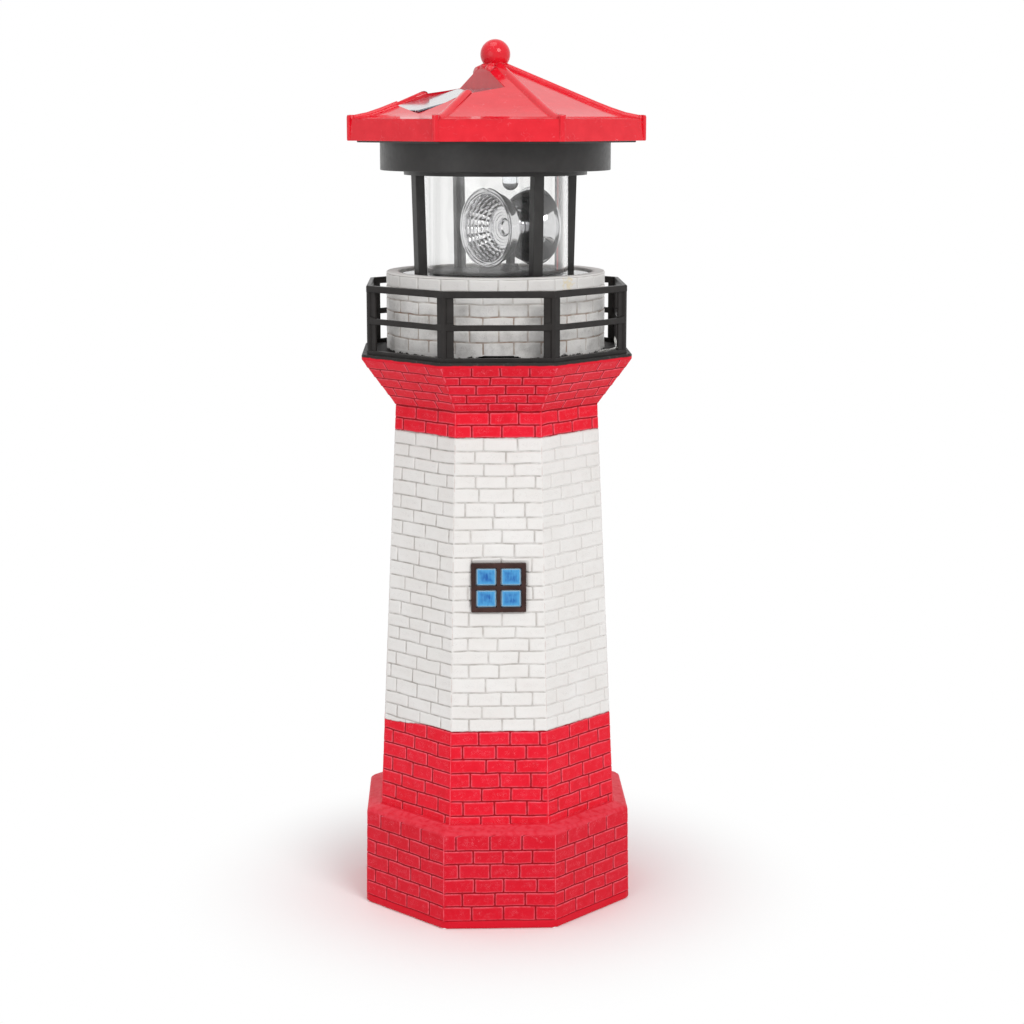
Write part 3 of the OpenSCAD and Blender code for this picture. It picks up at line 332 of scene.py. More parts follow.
def red_paint(n, broad, grain, marks, pits):
    """Red paint with painted shade on the plinth and the flare, paler pink on the edges, dark in the
    joints.
    """
    level = n.split(n.place())[2]
    # Painted shade: the red darkens on the plinth and its ledge, and on the flare, which faces down
    low = n.ramp(level, (LEDGE_Z + 0.2) * MM, (LEDGE_Z + 0.8) * MM, 1, 0)
    high = n.ramp(level, (NECK_Z - 0.2) * MM, (NECK_Z + 0.4) * MM)
    red = n.mix(n.ramp(broad, 0.3, 0.7), RED_DEEP, RED_PALE)
    red = n.mix(n.most(n.times(low, 0.5), n.times(high, 0.3)), red, RED_SHADED)
    red = n.mix(n.ramp(n.noise(5, 2), 0.56, 0.72, 0, 0.4), red, (0.62, 0.004, 0.016))
    red = n.mix(n.ramp(grain, 0.45, 0.8, 0, 0.09), red, (0.90, 0.10, 0.14))
    red = n.mix(n.times(marks, 0.55), red, (0.95, 0.24, 0.30))
    red = n.mix(n.times(pits, 0.30), red, (0.42, 0.006, 0.018))
    # Paler pink along the bricks' edges and the tower's corners
    worn = n.times(n.most(n.attribute("edge"), n.times(n.attribute("seam"), 0.7)),
                   n.ramp(n.noise(1.7, 4), 0.34, 0.56, 0.30, 1))
    red = n.mix(n.times(worn, 0.92), red, RED_PALER_EDGE)
    return n.mix(n.times(n.attribute("groove"), 0.92), red, RED_JOINT)


def white_paint(n, broad, grain, marked):
    """White paint, darker towards the drum's foot, joint dirt with painted shade, a yellow glue smear on
    the drum's rim.
    """
    # Darker in blotches towards the drum's foot
    sooty = n.attribute("soot")
    pale = n.mix(n.ramp(broad, 0.3, 0.7), (0.785, 0.765, 0.742), (0.825, 0.812, 0.795))
    pale = n.mix(n.ramp(grain, 0.5, 0.8, 0, 0.20), pale, (0.68, 0.66, 0.63))
    pale = n.mix(n.times(marked, n.ramp(sooty, 0, 1, 0.45, 0.9)), pale, (0.47, 0.45, 0.43))
    soot = n.times(sooty, n.ramp(n.noise(4.5, 5, 0.6), 0.46, 0.68, 0.0, 0.42))
    pale = n.mix(soot, pale, (0.33, 0.31, 0.29))
    apart = n.made("ShaderNodeVectorMath", "Value",
                   {0: n.place(), 1: tuple(v * MM for v in GLUE_SMEAR)}, operation="DISTANCE")
    near = n.math("ADD", n.ramp(apart, 1.0 * MM, 5.5 * MM, 0.28, -0.25), n.noise(0.9, 5))
    pale = n.mix(n.ramp(near, 0.62, 0.80, 0, 0.55), pale, (0.80, 0.66, 0.36))
    stain = n.times(n.attribute("seam"), n.ramp(n.noise(2.4, 4), 0.42, 0.56, 0, 0.62))
    pale = n.mix(stain, pale, (0.56, 0.42, 0.39))
    # Dirt in the joints, with painted shade: each face's share makes the joints darker away from the light
    dirt = n.times(n.times(n.attribute("groove"), n.most(n.attribute("grime"), sooty)),
                   n.ramp(n.noise(3.5, 4), 0.32, 0.66, 0.25, 1))
    return n.mix(dirt, pale, n.mix(sooty, (0.29, 0.26, 0.235), (0.34, 0.245, 0.19)))


def paint_material():
    """Hand-painted cast resin: white, red and black paint, and bare resin inside."""
    n = material_nodes("painted_resin")
    broad, cloud, grain = n.noise(9, 3), n.noise(2.2, 4), n.noise(0.35, 5, 0.6)
    marks, pits = paint_marks(n, cloud, n.attribute("middle"))
    marked = n.most(marks, pits)
    # The borders between paints, in millimetres, follow the brush
    brush = n.times(n.math("SUBTRACT", n.noise(2.6, 4), 0.5), 0.9)
    into_white = n.math("ADD", n.attribute("white"), brush)
    white = n.ramp(into_white, -0.07, 0.07)
    border = n.ramp(n.math("ABSOLUTE", into_white), 0.05, 0.28, 1, 0)
    smear = n.times(n.math("SUBTRACT", n.noise(3.2, 6, 0.65), 0.5), n.attribute("smear"))
    black = n.ramp(n.math("ADD", n.attribute("black"), smear), -0.12, 0.14)
    colour = n.mix(white, red_paint(n, broad, grain, marks, pits), white_paint(n, broad, grain, marked))
    colour = n.mix(n.times(border, 0.55), colour, (0.30, 0.012, 0.018))
    dark = n.mix(n.ramp(n.noise(1.2, 5, 0.65), 0.58, 0.76, 0, 0.4), (0.024, 0.022, 0.021),
                 (0.20, 0.19, 0.18))
    colour = n.mix(black, colour, dark)
    resin = n.mix(n.ramp(cloud, 0.3, 0.7), (0.62, 0.60, 0.55), (0.70, 0.68, 0.63))
    colour = n.mix(n.attribute("raw"), colour, resin)
    height = n.mix(n.times(marked, 0.6), n.mix(0.35, n.noise(0.7, 4), grain), (0.1, 0.1, 0.1))
    rough = n.mix(white, n.ramp(cloud, 0.2, 0.8, 0.40, 0.58), (0.62, 0.62, 0.62))
    return n.finish(Base_Color=colour, Roughness=rough, Normal=n.bump(height, 0.05, 0.8),
                    Specular_IOR_Level=0.15)


def plastic(name, colour, rough, grain=0.25, depth=0.012, vary=0.12, speck=None, scratch=None, **more):
    """Moulded plastic with a fine grain and faint cloudiness."""
    n = material_nodes(name)
    cloud = n.noise(4, 3)
    fine = n.noise(grain, 4, 0.6)
    lighter = tuple(min(1, c * (1 + vary) + 0.006) for c in colour)
    darker = tuple(c * (1 - vary) for c in colour)
    base = n.mix(n.ramp(cloud, 0.3, 0.7), darker, lighter)
    if speck:
        base = n.mix(n.ramp(n.noise(0.8, 5, 0.7), 0.62, 0.72, 0, 0.6), base, speck)
    if scratch:
        line = n.ramp(n.off(n.noise(5, 2, 0.5, distortion=1.6), 0.5), 0.0015, 0.006, 1, 0)
        base = n.mix(n.times(line, n.ramp(n.noise(3.1, 3), 0.52, 0.60, 0, 0.5)), base, scratch)
    roughness = n.ramp(n.noise(1.4, 4), 0.25, 0.75, rough * 0.85, min(1, rough * 1.2))
    return n.finish(Base_Color=base, Roughness=roughness, Normal=n.bump(fine, depth, 0.8), **more)


def black_plastic(name, colour, rough, specular):
    return plastic(name, colour, rough, depth=0.01, Specular_IOR_Level=specular)


def metal(name, colour, rough):
    """Metal with fine drawing marks."""
    n = material_nodes(name)
    marks = n.noise(0.6, 4, 0.6, vector=n.mapped(Scale=(1, 1, 12)))
    base = n.mix(n.ramp(marks, 0.3, 0.7), tuple(c * 0.88 for c in colour), colour)
    roughness = n.ramp(marks, 0.25, 0.75, rough * 0.8, rough * 1.25)
    return n.finish(Base_Color=base, Roughness=roughness, Metallic=1.0,
                    Normal=n.bump(marks, 0.004, 0.6))


def chrome_material():
    n = material_nodes("mirror_plating")
    haze = n.noise(3, 3)
    return n.finish(Base_Color=n.mix(n.ramp(haze, 0.3, 0.7), (0.69, 0.69, 0.70), (0.78, 0.78, 0.79)),
                    Metallic=1.0, Roughness=n.ramp(haze, 0.3, 0.7, 0.03, 0.09),
                    Normal=n.bump(n.noise(1.2, 2), 0.006, 0.5))


def clear_material(name, tint, rough, ior, clarity=1.0):
    n = material_nodes(name)
    haze = n.noise(6, 3)
    return n.finish(Base_Color=tint, Roughness=n.ramp(haze, 0.4, 0.8, rough, rough * 3),
                    Normal=n.bump(n.noise(12, 2), 0.02, 0.3), IOR=ior, Transmission_Weight=clarity)


def pane_material():
    """Blue window paint with upright brush marks, paler towards each light's edge."""
    n = material_nodes("pane_paint")
    streak = n.noise(0.55, 3, 0.6, vector=n.mapped(Scale=(1, 1, 0.14)))
    blend = n.times(n.attribute("deep"), n.ramp(n.noise(2.6, 3), 0.36, 0.60, 0.35, 1))
    blue = n.mix(blend, (0.075, 0.37, 0.70), (0.012, 0.12, 0.42))
    blue = n.mix(n.ramp(streak, 0.48, 0.66, 0, 0.55), blue, (0.10, 0.38, 0.72))
    blue = n.mix(n.ramp(streak, 0.42, 0.30, 0, 0.45), blue, (0.012, 0.11, 0.38))
    blue = n.mix(n.times(n.attribute("edge"), 0.9), blue, (0.55, 0.76, 0.90))
    blue = n.mix(n.attribute("dark"), blue, (0.045, 0.020, 0.018))
    return n.finish(Base_Color=blue, Roughness=0.25, Normal=n.bump(streak, 0.03, 0.6),
                    Specular_IOR_Level=0.3)


def solar_material():
    """Dark cells with silver lines under a clear resin."""
    n = material_nodes("solar_cells")
    along, across = n.split(n.mapped(Rotation=(0, 0, radians(157.5))))[:2]

    def lines(value, pitch, width, shift=0.0):
        scaled = n.times(n.math("ADD", value, shift * MM), 1 / (pitch * MM))
        away = n.off(n.math("FRACT", scaled), 0.5)
        return n.ramp(away, 0.5 - width / pitch / 2 - 0.01, 0.5 - width / pitch / 2)

    fingers, gaps = lines(along, 1.05, 0.09), lines(along, 6.4, 0.35, 0.7)
    bus = lines(across, 9.2, 0.5, 4.6)
    silicon = n.mix(n.ramp(n.noise(1.6, 2, 0.3), 0.4, 0.6), (0.010, 0.014, 0.040), (0.018, 0.024, 0.060))
    colour = n.mix(n.times(fingers, 0.35), silicon, (0.30, 0.31, 0.34))
    colour = n.mix(bus, colour, (0.55, 0.56, 0.58))
    colour = n.mix(gaps, colour, (0.012, 0.012, 0.014))
    return n.finish(Base_Color=colour, Roughness=0.24, Coat_Weight=1.0, Coat_Roughness=0.10,
                    Normal=n.bump(n.noise(2.5, 2), 0.01, 0.4))


painted = paint_material()
cup_black = black_plastic("cup_black", (0.013, 0.012, 0.0115), 0.48, 0.22)
rail_black = black_plastic("rail_black", (0.017, 0.0145, 0.0135), 0.36, 0.22)
shell_black = black_plastic("shell_black", (0.017, 0.0155, 0.0145), 0.36, 0.42)
roof_red = plastic("roof_red", (0.75, 0.004, 0.018), 0.12, grain=1.2, depth=0.010, vary=0.05,
                   scratch=(0.95, 0.22, 0.26), Specular_IOR_Level=0.36)
frame_brown = plastic("frame_brown", (0.036, 0.0125, 0.0095), 0.42, vary=0.35,
                      speck=(0.16, 0.035, 0.03), Specular_IOR_Level=0.25)
natural = plastic("natural_plastic", (0.66, 0.65, 0.60), 0.42)
white_knob = plastic("white_knob", (0.70, 0.70, 0.67), 0.4)
wire_red = plastic("wire_red", (0.55, 0.012, 0.016), 0.36)
wire_black = plastic("wire_black", (0.014, 0.014, 0.015), 0.36)
board_green = plastic("board_green", (0.012, 0.13, 0.05), 0.28, vary=0.2)
cell_green = plastic("cell_green", (0.03, 0.22, 0.08), 0.25, Coat_Weight=0.3)
steel = metal("zinc_steel", (0.62, 0.62, 0.64), 0.28)
bright_steel = metal("bright_steel", (0.72, 0.72, 0.74), 0.18)
nickel = metal("nickel", (0.70, 0.69, 0.66), 0.22)
brass = metal("brass_metal", (0.74, 0.55, 0.22), 0.25)
mirror = chrome_material()
clear_plastic = clear_material("clear_plastic", (0.99, 0.99, 0.985), 0.01, 1.49, 0.97)
led_clear = clear_material("led_epoxy", (0.94, 0.97, 1.0), 0.02, 1.52)
glue = clear_material("dried_glue", (0.95, 0.94, 0.90), 0.12, 1.48, 0.55)
pane_paint = pane_material()
solar_cells = solar_material()

for material, nodes in (
        (painted, "tower_casting"), (rail_black, "gallery_railing"), (cup_black, "base_cup"),
        (shell_black, "base_cover lantern_frame lamp_housing housing_screws reflector_spindle"),
        (steel, "cover_screws plate_screws frame_screws idler_axle motor_shaft"),
        (bright_steel, "drive_motor switch_body"), (nickel, "battery_contacts"),
        (brass, "motor_pinion"), (mirror, "reflector"), (natural, "gear_plate idler_gear"),
        (white_knob, "switch_knob"), (cell_green, "battery"), (board_green, "circuit_board"),
        (wire_red, "red_lead"), (wire_black, "black_lead"), (clear_plastic, "clear_tube"),
        (led_clear, "lamp_led"), (roof_red, "roof"), (solar_cells, "solar_panel"),
        (frame_brown, "window_frame"), (pane_paint, "window_panes")):
    for node in nodes.split():
        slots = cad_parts[node].data.materials
        slots.clear()
        slots.append(material)

# ---- tower

COLUMNS, SIDES = 44, 8
RING = COLUMNS * SIDES
FACES = np.arange(SIDES)[:, None]
# Depth of a point that is far from a border between paints
FAR = 4.0
# Usual values: depths inside the white and the black paint, shares of bare resin, joint, brick's
# edge, brick's middle, tower's corner, joint dirt with painted shade, darkening towards the drum's
# foot, and how far the black paint is smeared
MASKS = {"white": -FAR, "black": -FAR, "raw": 0, "groove": 0, "edge": 0, "middle": 0, "seam": 0,
         "grime": 1, "soot": 0, "smear": 0.8}
# How dark the white paint's joints are on each face, counted from the front one: dirt, and painted
# shade that makes them darkest on the left and back faces and lightest on the lit front-right one
JOINT_DIRT_AND_SHADE = np.repeat([0.62, 0.26, 0.45, 0.62, 0.7, 0.7, 0.72, 0.70], COLUMNS)
wobble_u, wobble_z, relief, dents = Noise(3), Noise(4), Noise(5), Noise(6)
rng = np.random.RandomState(11)

side_angles = np.radians(-90 + 45 * np.arange(SIDES))
normals = np.stack([np.cos(side_angles), np.sin(side_angles)], 1)
tangents = np.stack([-np.sin(side_angles), np.cos(side_angles)], 1)


class Skin:
    """One closed skin of rings, with a value of each mask at each point."""

    def __init__(self):
        self.points, self.masks = [], []

    def ring(self, points, **masks):
        self.points.append(points)
        self.masks.append([np.broadcast_to(np.asarray(masks.get(m, usual), float).reshape(-1), (RING,))
                           for m, usual in MASKS.items()])


skin = Skin()


def even(half):
    """Even places across each face, from -half to half."""
    return np.tile(np.linspace(-half, half, COLUMNS + 1)[:-1], (SIDES, 1))


def octagon_ring(apothem, z, u=None, sink=0.0, slope=0.0, corner=0.14):
    """Points of an eight-sided ring, at places u across each face. sink is the depth below the
    face, slope the tilt of its normal, and corner how far the corners are worn off."""
    apothem, z, sink = (np.array(np.broadcast_to(v, (SIDES, COLUMNS)), float) for v in (apothem, z, sink))
    u = even(apothem[0, 0] * HALF_TURN) if u is None else u.copy()
    # A corner belongs to two faces, so it is worn off along the line between them
    apothem[:, 0] = (apothem[:, 0] + np.roll(apothem[:, -1], 1)) / 2
    u[:, 0] = -apothem[:, 0] * HALF_TURN
    sink[:, 0] = 0
    flat = apothem - cos(slope) * sink
    xy = normals[:, None, :] * flat[..., None] + tangents[:, None, :] * u[..., None]
    xy[:, 0] *= (1 - corner / (apothem[:, 0] * CORNER_OUT))[:, None]
    return np.concatenate([xy, (z - sin(slope) * sink)[..., None]], -1).reshape(-1, 3)


def round_ring(radius, z, turn=None, sink=0.0):
    """Points of a round ring. turn holds angles from each face's middle, in radians."""
    angle = (side_angles[:, None] + (even(pi / SIDES) if turn is None else turn)).reshape(-1)
    r = radius - np.asarray(sink, float).reshape(-1)
    z = np.broadcast_to(np.asarray(z, float).reshape(-1), angle.shape)
    return np.stack([r * np.cos(angle), r * np.sin(angle), z], 1)


# Width of a joint, radius of a brick's corners, and how near a joint comes to the tower's corners
JOINT, BRICK_ROUND, NEAR_CORNER = 0.34, 0.34, 1.7
# How far joints wander up and across a face, depths of the resin's grain and of a brick's face,
# and how much one brick differs from the next
WANDER_UP, WANDER_ACROSS, GRAIN, FACE_SINK, UNEVEN = 0.16, 0.15, 0.04, 0.06, 0.05
# Distances from a joint's edge to a brick's foot, lip, shoulder and face, and those at a corner
STEPS = np.array([0.0, 0.09, 0.24, 0.60])
CORNER_STEPS = np.array([0.0, 0.22, 0.8])


def course_columns(joints, half, bordered):
    """Columns across one face, crowded at the joints. bordered says that its ends are joints too."""
    ends = [(-half, bordered)] + [(j, True) for j in joints] + [(half, bordered)]
    fixed = []
    for (a, joint_a), (b, joint_b) in zip(ends[:-1], ends[1:]):
        left = STEPS + JOINT / 2 if joint_a else CORNER_STEPS
        right = STEPS + JOINT / 2 if joint_b else CORNER_STEPS[1:]
        left, right = (side * min(1, (b - a) / 2 * 0.9 / side[-1]) for side in (left, right))
        fixed.append((a + left, (b - right)[::-1]))
    spare = COLUMNS - sum(len(l) + len(r) for l, r in fixed)
    gaps = np.array([r[0] - l[-1] for l, r in fixed])
    wanted = gaps / gaps.sum() * spare
    share = np.floor(wanted).astype(int)
    for k in np.argsort(share - wanted)[: spare - share.sum()]:
        share[k] += 1
    columns = []
    for (l, r), extra in zip(fixed, share):
        columns += [*l, *np.linspace(l[-1], r[0], extra + 2)[1:-1], *r]
    return np.array(columns)


def inside_rounded(x, y, r):
    """Depth inside a shape with corners rounded by r, from the distances to its sides."""
    dx, dy = np.maximum(r - x, 0), np.maximum(r - y, 0)
    return np.where((dx > 0) & (dy > 0), r - np.hypot(dx, dy), np.minimum(x, y))


def joints_of(half, length, phase, closed):
    """Joint places of one course on one face."""
    if not closed:
        count = max(1, round(2 * half / length))
        step = 2 * half / count
        places = [-half + step * (i + phase) for i in range(count + 1)]
        return [p + rng.uniform(-0.25, 0.25) for p in places if -half + 1 < p < half - 1]
    places, at = [], -half + length * phase + rng.uniform(-0.9, 0.9)
    while at < half:
        places.append(at)
        at += length + rng.uniform(-0.8, 0.8)
    return [p for p in places if abs(p) < half - NEAR_CORNER]


def brick_row(u, v, half, joints, tilt, low, high, depth, closed, bordered):
    """Sink, groove, edge and middle along one level of a course, on one face."""
    # Where no joint borders the face, its last brick goes on past the corner
    end = half if bordered else half + 3
    edges = np.array([-end, *joints, end])
    brick = np.clip(np.searchsorted(edges, u, side="right") - 1, 0, len(edges) - 2)
    x = np.minimum(u - edges[brick], edges[brick + 1] - u) - JOINT / 2
    y = np.minimum(v - low, high - v) - JOINT / 2
    inside = inside_rounded(x, y, BRICK_ROUND)
    # Joints run out towards the tower's corners
    fade = smooth(0.0, 0.5, half - np.abs(u)) if closed else 1.0
    uneven = UNEVEN * ((u / half) * tilt[brick, 1] + tilt[brick, 0]) * fade
    sink = (depth * ((1 - smooth(-0.02, 0.20, inside)) * fade)
            + np.maximum(0, FACE_SINK + uneven) * smooth(0, 0.5, inside) * fade)
    groove = (1 - smooth(0.0, 0.10, inside)) * fade
    edge = (smooth(0.0, 0.09, inside) - smooth(0.10, 0.32, inside)) * fade
    return sink, groove, edge, smooth(0.4, 1.0, inside)


def course(number, low, high, place, length, depth, closed, below, above):
    """The levels of one course of bricks. low and high are its limits on each face, measured up
    the face. below and above say whether a joint runs along them."""
    mean = (low + high) / 2
    bordered = not closed and number % 2 == 0
    faces = []
    for k in range(SIDES):
        half = place(mean[k])[0] * (HALF_TURN if closed else pi / SIDES)
        phase = (0.5 if number % 2 else 0.0) + (rng.uniform(-0.12, 0.12) if closed else 0)
        joints = joints_of(half, length, phase, closed)
        columns = course_columns(joints, half, bordered)
        faces.append((columns, half, joints, rng.uniform(-1, 1, (len(joints) + 1, 3))))
    columns = np.array([face[0] for face in faces])
    bottom, top = low - (0 if below else FAR), high + (0 if above else FAR)
    levels = [low[:, None] + JOINT / 2 + step for step in STEPS] + [mean[:, None]]
    levels += [high[:, None] - JOINT / 2 - step for step in STEPS[::-1]]
    for level in levels:
        v = level + np.zeros((SIDES, COLUMNS))
        rows = [brick_row(u, v[k], half, joints, tilt, bottom[k], top[k], depth, closed, bordered)
                for k, (u, half, joints, tilt) in enumerate(faces)]
        yield v, columns, *(np.array(row) for row in zip(*rows))


def lay_courses(starts, place, length, depth, masks, closed=True, ends=(True, True)):
    """Rings of several courses, from their distances up the face. place(v) gives the apothem,
    height and slope at v. ends says whether a joint runs along the lowest and the highest edge."""
    jitter = np.zeros((len(starts), SIDES))
    if closed:
        jitter = rng.uniform(-WANDER_UP, WANDER_UP, jitter.shape)
    jitter[0] = jitter[-1] = 0
    limits = np.array(starts)[:, None] + jitter
    last = len(starts) - 2
    first_column = np.arange(COLUMNS) == 0
    for number in range(last + 1):
        for v, columns, sink, groove, edge, middle in course(
                number, limits[number], limits[number + 1], place, length, depth, closed,
                number > 0 or ends[0], number < last or ends[1]):
            v = v + WANDER_UP * wobble_z(columns / 4.5 + FACES * 9, v / 7)
            apothem, z, slope = place(v)
            u = columns + WANDER_ACROSS * wobble_u(v / 4.5, columns / 6 + FACES * 7) * ~first_column
            sink = sink + GRAIN * relief(u / 0.9, v / 0.9 + FACES * 5)
            # A corner takes the mean height of its two faces
            z[:, 0] = (z[:, 0] + np.roll(z[:, -1], 1)) / 2
            if closed:
                points = octagon_ring(apothem, z, u, sink, slope)
            else:
                points = round_ring(DRUM_R, z, u / DRUM_R, sink)
            extra = {m: (f(u, z) if callable(f) else f) for m, f in masks.items()}
            seam = first_column * np.ones((SIDES, 1)) if closed else 0.0
            # Each face's joint darkness holds dirt and painted shade
            skin.ring(points, groove=groove, edge=edge, middle=middle, seam=seam, grime=JOINT_DIRT_AND_SHADE, **extra)


def face_place(a0, z0, a1, z1):
    """The places up a sloping face from an apothem and height to others, and the face's length."""
    rise, run = z1 - z0, a0 - a1
    length = hypot(rise, run)

    def place(v):
        return a0 - run * (v / length), z0 + rise * (v / length), atan2(run, rise)

    return place, length


# Levels at which the paint changes, lengths of bricks and depths of joints
WHITE_FROM, RED_FROM, BLACK_FROM = 61.5, 152.0, 174.75
BRICK, FLARE_BRICK, DRUM_BRICK = 9.6, 9.1, 8.9
PLINTH_DEPTH, DEPTH, DRUM_DEPTH = 0.36, 0.32, 0.28
# The plain foot's rounding, height and taper, the top edge's radius, and where the shaft's bricks start
FOOT_EDGE, FOOT_H, FOOT_TAPER, PLINTH_EDGE, SHAFT_FROM = 0.6, 2.6, 0.016, 1.4, 0.15

# Plinth: a plain foot, six courses, a rounded top edge and the ledge round the shaft
plinth_place, plinth_length = face_place(PLINTH_W / 2, FOOT_EDGE, PLINTH_TOP_W / 2, PLINTH_H - PLINTH_EDGE)
skin.ring(octagon_ring(PLINTH_W / 2 - FOOT_EDGE, 0.0, corner=0.5))
for z in (0.25, FOOT_EDGE, 1.2, 1.9, 2.4):
    inset = max(0, FOOT_EDGE - z) * 0.6
    uneven = 0.06 * dents(np.arange(RING) / 9, z * 1.3).reshape(SIDES, COLUMNS)
    skin.ring(octagon_ring(PLINTH_W / 2 - inset - FOOT_TAPER * z, z, sink=uneven, corner=0.45))
lay_courses(np.linspace(FOOT_H - FOOT_EDGE, plinth_length + 0.1, 7), plinth_place, BRICK, PLINTH_DEPTH, {},
            ends=(True, False))
for angle in (20, 45, 70, 90):
    inset, drop = (PLINTH_EDGE * (1 - f(radians(angle))) for f in (cos, sin))
    skin.ring(octagon_ring(PLINTH_TOP_W / 2 - inset, PLINTH_H - drop, corner=0.4),
              edge=0.3 if angle == 90 else 0.22)
for share in (0.3, 0.6, 0.9, 1.0):
    a = (PLINTH_TOP_W / 2 - PLINTH_EDGE) * (1 - share) + (SHAFT_W / 2 + 0.25) * share
    z = PLINTH_H + (LEDGE_Z - PLINTH_H) * share
    if share < 1:
        uneven = 0.07 * dents(np.arange(RING) / 7, share * 3).reshape(SIDES, COLUMNS)
        skin.ring(octagon_ring(a, z + uneven, corner=0.2), edge=0.3)
    else:
        skin.ring(octagon_ring(a, z + SHAFT_FROM, corner=0.2))

# Shaft
shaft_place, shaft_length = face_place(SHAFT_W / 2, LEDGE_Z, NECK_W / 2, NECK_Z)
per_mm = shaft_length / (NECK_Z - LEDGE_Z)
white_low, white_high = (WHITE_FROM - LEDGE_Z) * per_mm, (RED_FROM - LEDGE_Z) * per_mm


def spread(lo, hi, count, wander):
    steps = 1 + rng.uniform(-wander, wander, count)
    return list(lo + (hi - lo) * np.concatenate([[0], np.cumsum(steps)]) / steps.sum())


def white_band(u, z):
    """How far a point lies inside the white band. Its lower border cuts the bricks of the left face."""
    low = np.full(u.shape, WHITE_FROM)
    low[-1] -= 1.7 * smooth(6, -14, u[-1])
    return np.clip(np.minimum(z - low, RED_FROM - z), -FAR, FAR)


# The lowest course is cut to 0.6 of its height
first_joint = SHAFT_FROM + 0.6 * ((white_low - SHAFT_FROM) / 6.6)
shaft_starts = ([SHAFT_FROM] + spread(first_joint, white_low, 6, 0.05)[:-1]
                + spread(white_low, white_high, 22, 0.10)[:-1] + spread(white_high, shaft_length, 2, 0.05))
lay_courses(shaft_starts, shaft_place, BRICK, DEPTH, {"white": white_band}, ends=(False, True))

# Flare
flare_place, flare_length = face_place(NECK_W / 2, NECK_Z, DECK_W / 2, FLARE_TOP)
lay_courses(np.linspace(0.0, flare_length, 6), flare_place, FLARE_BRICK, DEPTH,
            {"black": lambda u, z: np.maximum(z - BLACK_FROM, -FAR)}, ends=(True, False))

# Deck, painted black down to its lower edge, with a smudged border to the drum's white
for inset, z in ((0, FLARE_TOP + 0.1), (0, FLARE_TOP + 0.5), (0, DECK_TOP - 0.3), (0.25, DECK_TOP),
                 (1.2, DECK_TOP), (2.6, DECK_TOP)):
    skin.ring(octagon_ring(DECK_W / 2 - inset, z, corner=0.3),
              black=z - BLACK_FROM if z < DECK_TOP else FAR)
for r in (37.2, 35.6, 34.5):
    skin.ring(round_ring(r, DECK_TOP), black=1.4, white=FAR, smear=3)

# Drum, with the mouth of the drain at its foot in front
DRAIN_W, DRAIN_H, DRAIN_DEEP = 13.2, 1.3, 3.4
drain_across = DRUM_R * np.sin(even(pi / SIDES)[0]) / (DRAIN_W / 2)
arch = np.sqrt(np.clip(1 - drain_across ** 4, 0, 1)) * DRAIN_H
for z in (0.0, 0.45, 0.85, 1.1, DRAIN_H, DRAIN_H + 0.02, DRAIN_H + 0.15):
    sink = np.zeros((SIDES, COLUMNS))
    sink[0] = np.where((arch > z) | ((z == DRAIN_H) & (arch > 1.1)), DRAIN_DEEP, 0)
    skin.ring(round_ring(DRUM_R, DECK_TOP + z, sink=sink), white=FAR,
              black=np.where(sink > 0, FAR, 0.5 - 0.85 * z), soot=1, smear=3)
# The drum's bricks darken towards its foot
lay_courses(np.linspace(DRAIN_H + 0.2, DRUM_TOP - DECK_TOP - 0.35, 7),
            lambda v: (DRUM_R, DECK_TOP + v, 0.0), DRUM_BRICK, DRUM_DEPTH,
            {"white": FAR, "black": lambda u, z: np.clip(0.55 - 0.85 * (z - DECK_TOP), -2.2, FAR),
             "smear": 3, "soot": lambda u, z: smooth(DRUM_TOP - 2, DRUM_TOP - 12, z)},
            closed=False, ends=(False, True))
for r, drop in ((DRUM_R - 0.05, 0.3), (DRUM_R - 0.3, 0), (DRUM_R - 1.5, 0.02), (SOCKET_R + 1.2, 0),
                (SOCKET_R + 0.3, 0), (SOCKET_R, 0.3)):
    skin.ring(round_ring(r, DRUM_TOP - drop), white=FAR)
for r, z in ((SOCKET_R, DRUM_TOP - 4), (SOCKET_R, DRUM_TOP - 12), (SOCKET_R, SOCKET_Z + 0.3),
             (SOCKET_R - 0.2, SOCKET_Z)):
    skin.ring(round_ring(r, z), white=FAR, raw=smooth(2, 8, DRUM_TOP - z))
for r, z in ((27.5, SOCKET_Z), (SEAT_R + 0.3, SOCKET_Z), (SEAT_R, SOCKET_Z - 0.3), (SEAT_R, SEAT_UNDER)):
    skin.ring(round_ring(r, z), raw=1.0)

# Hollow
WALL, PLINTH_WALL = 4, 5
for a, z in ((NECK_W / 2 - WALL, SEAT_UNDER), (NECK_W / 2 - WALL, NECK_Z), (SHAFT_W / 2 - WALL, LEDGE_Z),
             (PLINTH_TOP_W / 2 - PLINTH_WALL, PLINTH_H - WALL), (PLINTH_W / 2 - PLINTH_WALL, 0.0)):
    skin.ring(octagon_ring(a, z, corner=0.0), raw=1.0)

# Behind the window the wall gives way to the frame
WINDOW_LAP, WINDOW_SINK = 0.45, 1.25
tower_points = np.concatenate(skin.points)
tower = new_object("painted_tower", tower_points, ring_faces(len(skin.points), RING, around=True), 50)
x, y, z = tower_points.T
behind = ((np.abs(x) < WINDOW_W / 2 - WINDOW_LAP) & (np.abs(z - WINDOW_Z) < WINDOW_H / 2 - WINDOW_LAP)
          & (y < -NECK_W / 2 + WALL))
for i in np.flatnonzero(behind):
    tower.data.vertices[i].co.y += WINDOW_SINK * MM
for m, mask in enumerate(MASKS):
    set_mask(tower.data, mask, np.concatenate([row[m] for row in skin.masks]))
dress(tower, painted, "tower", "tower_casting")

# ---- window

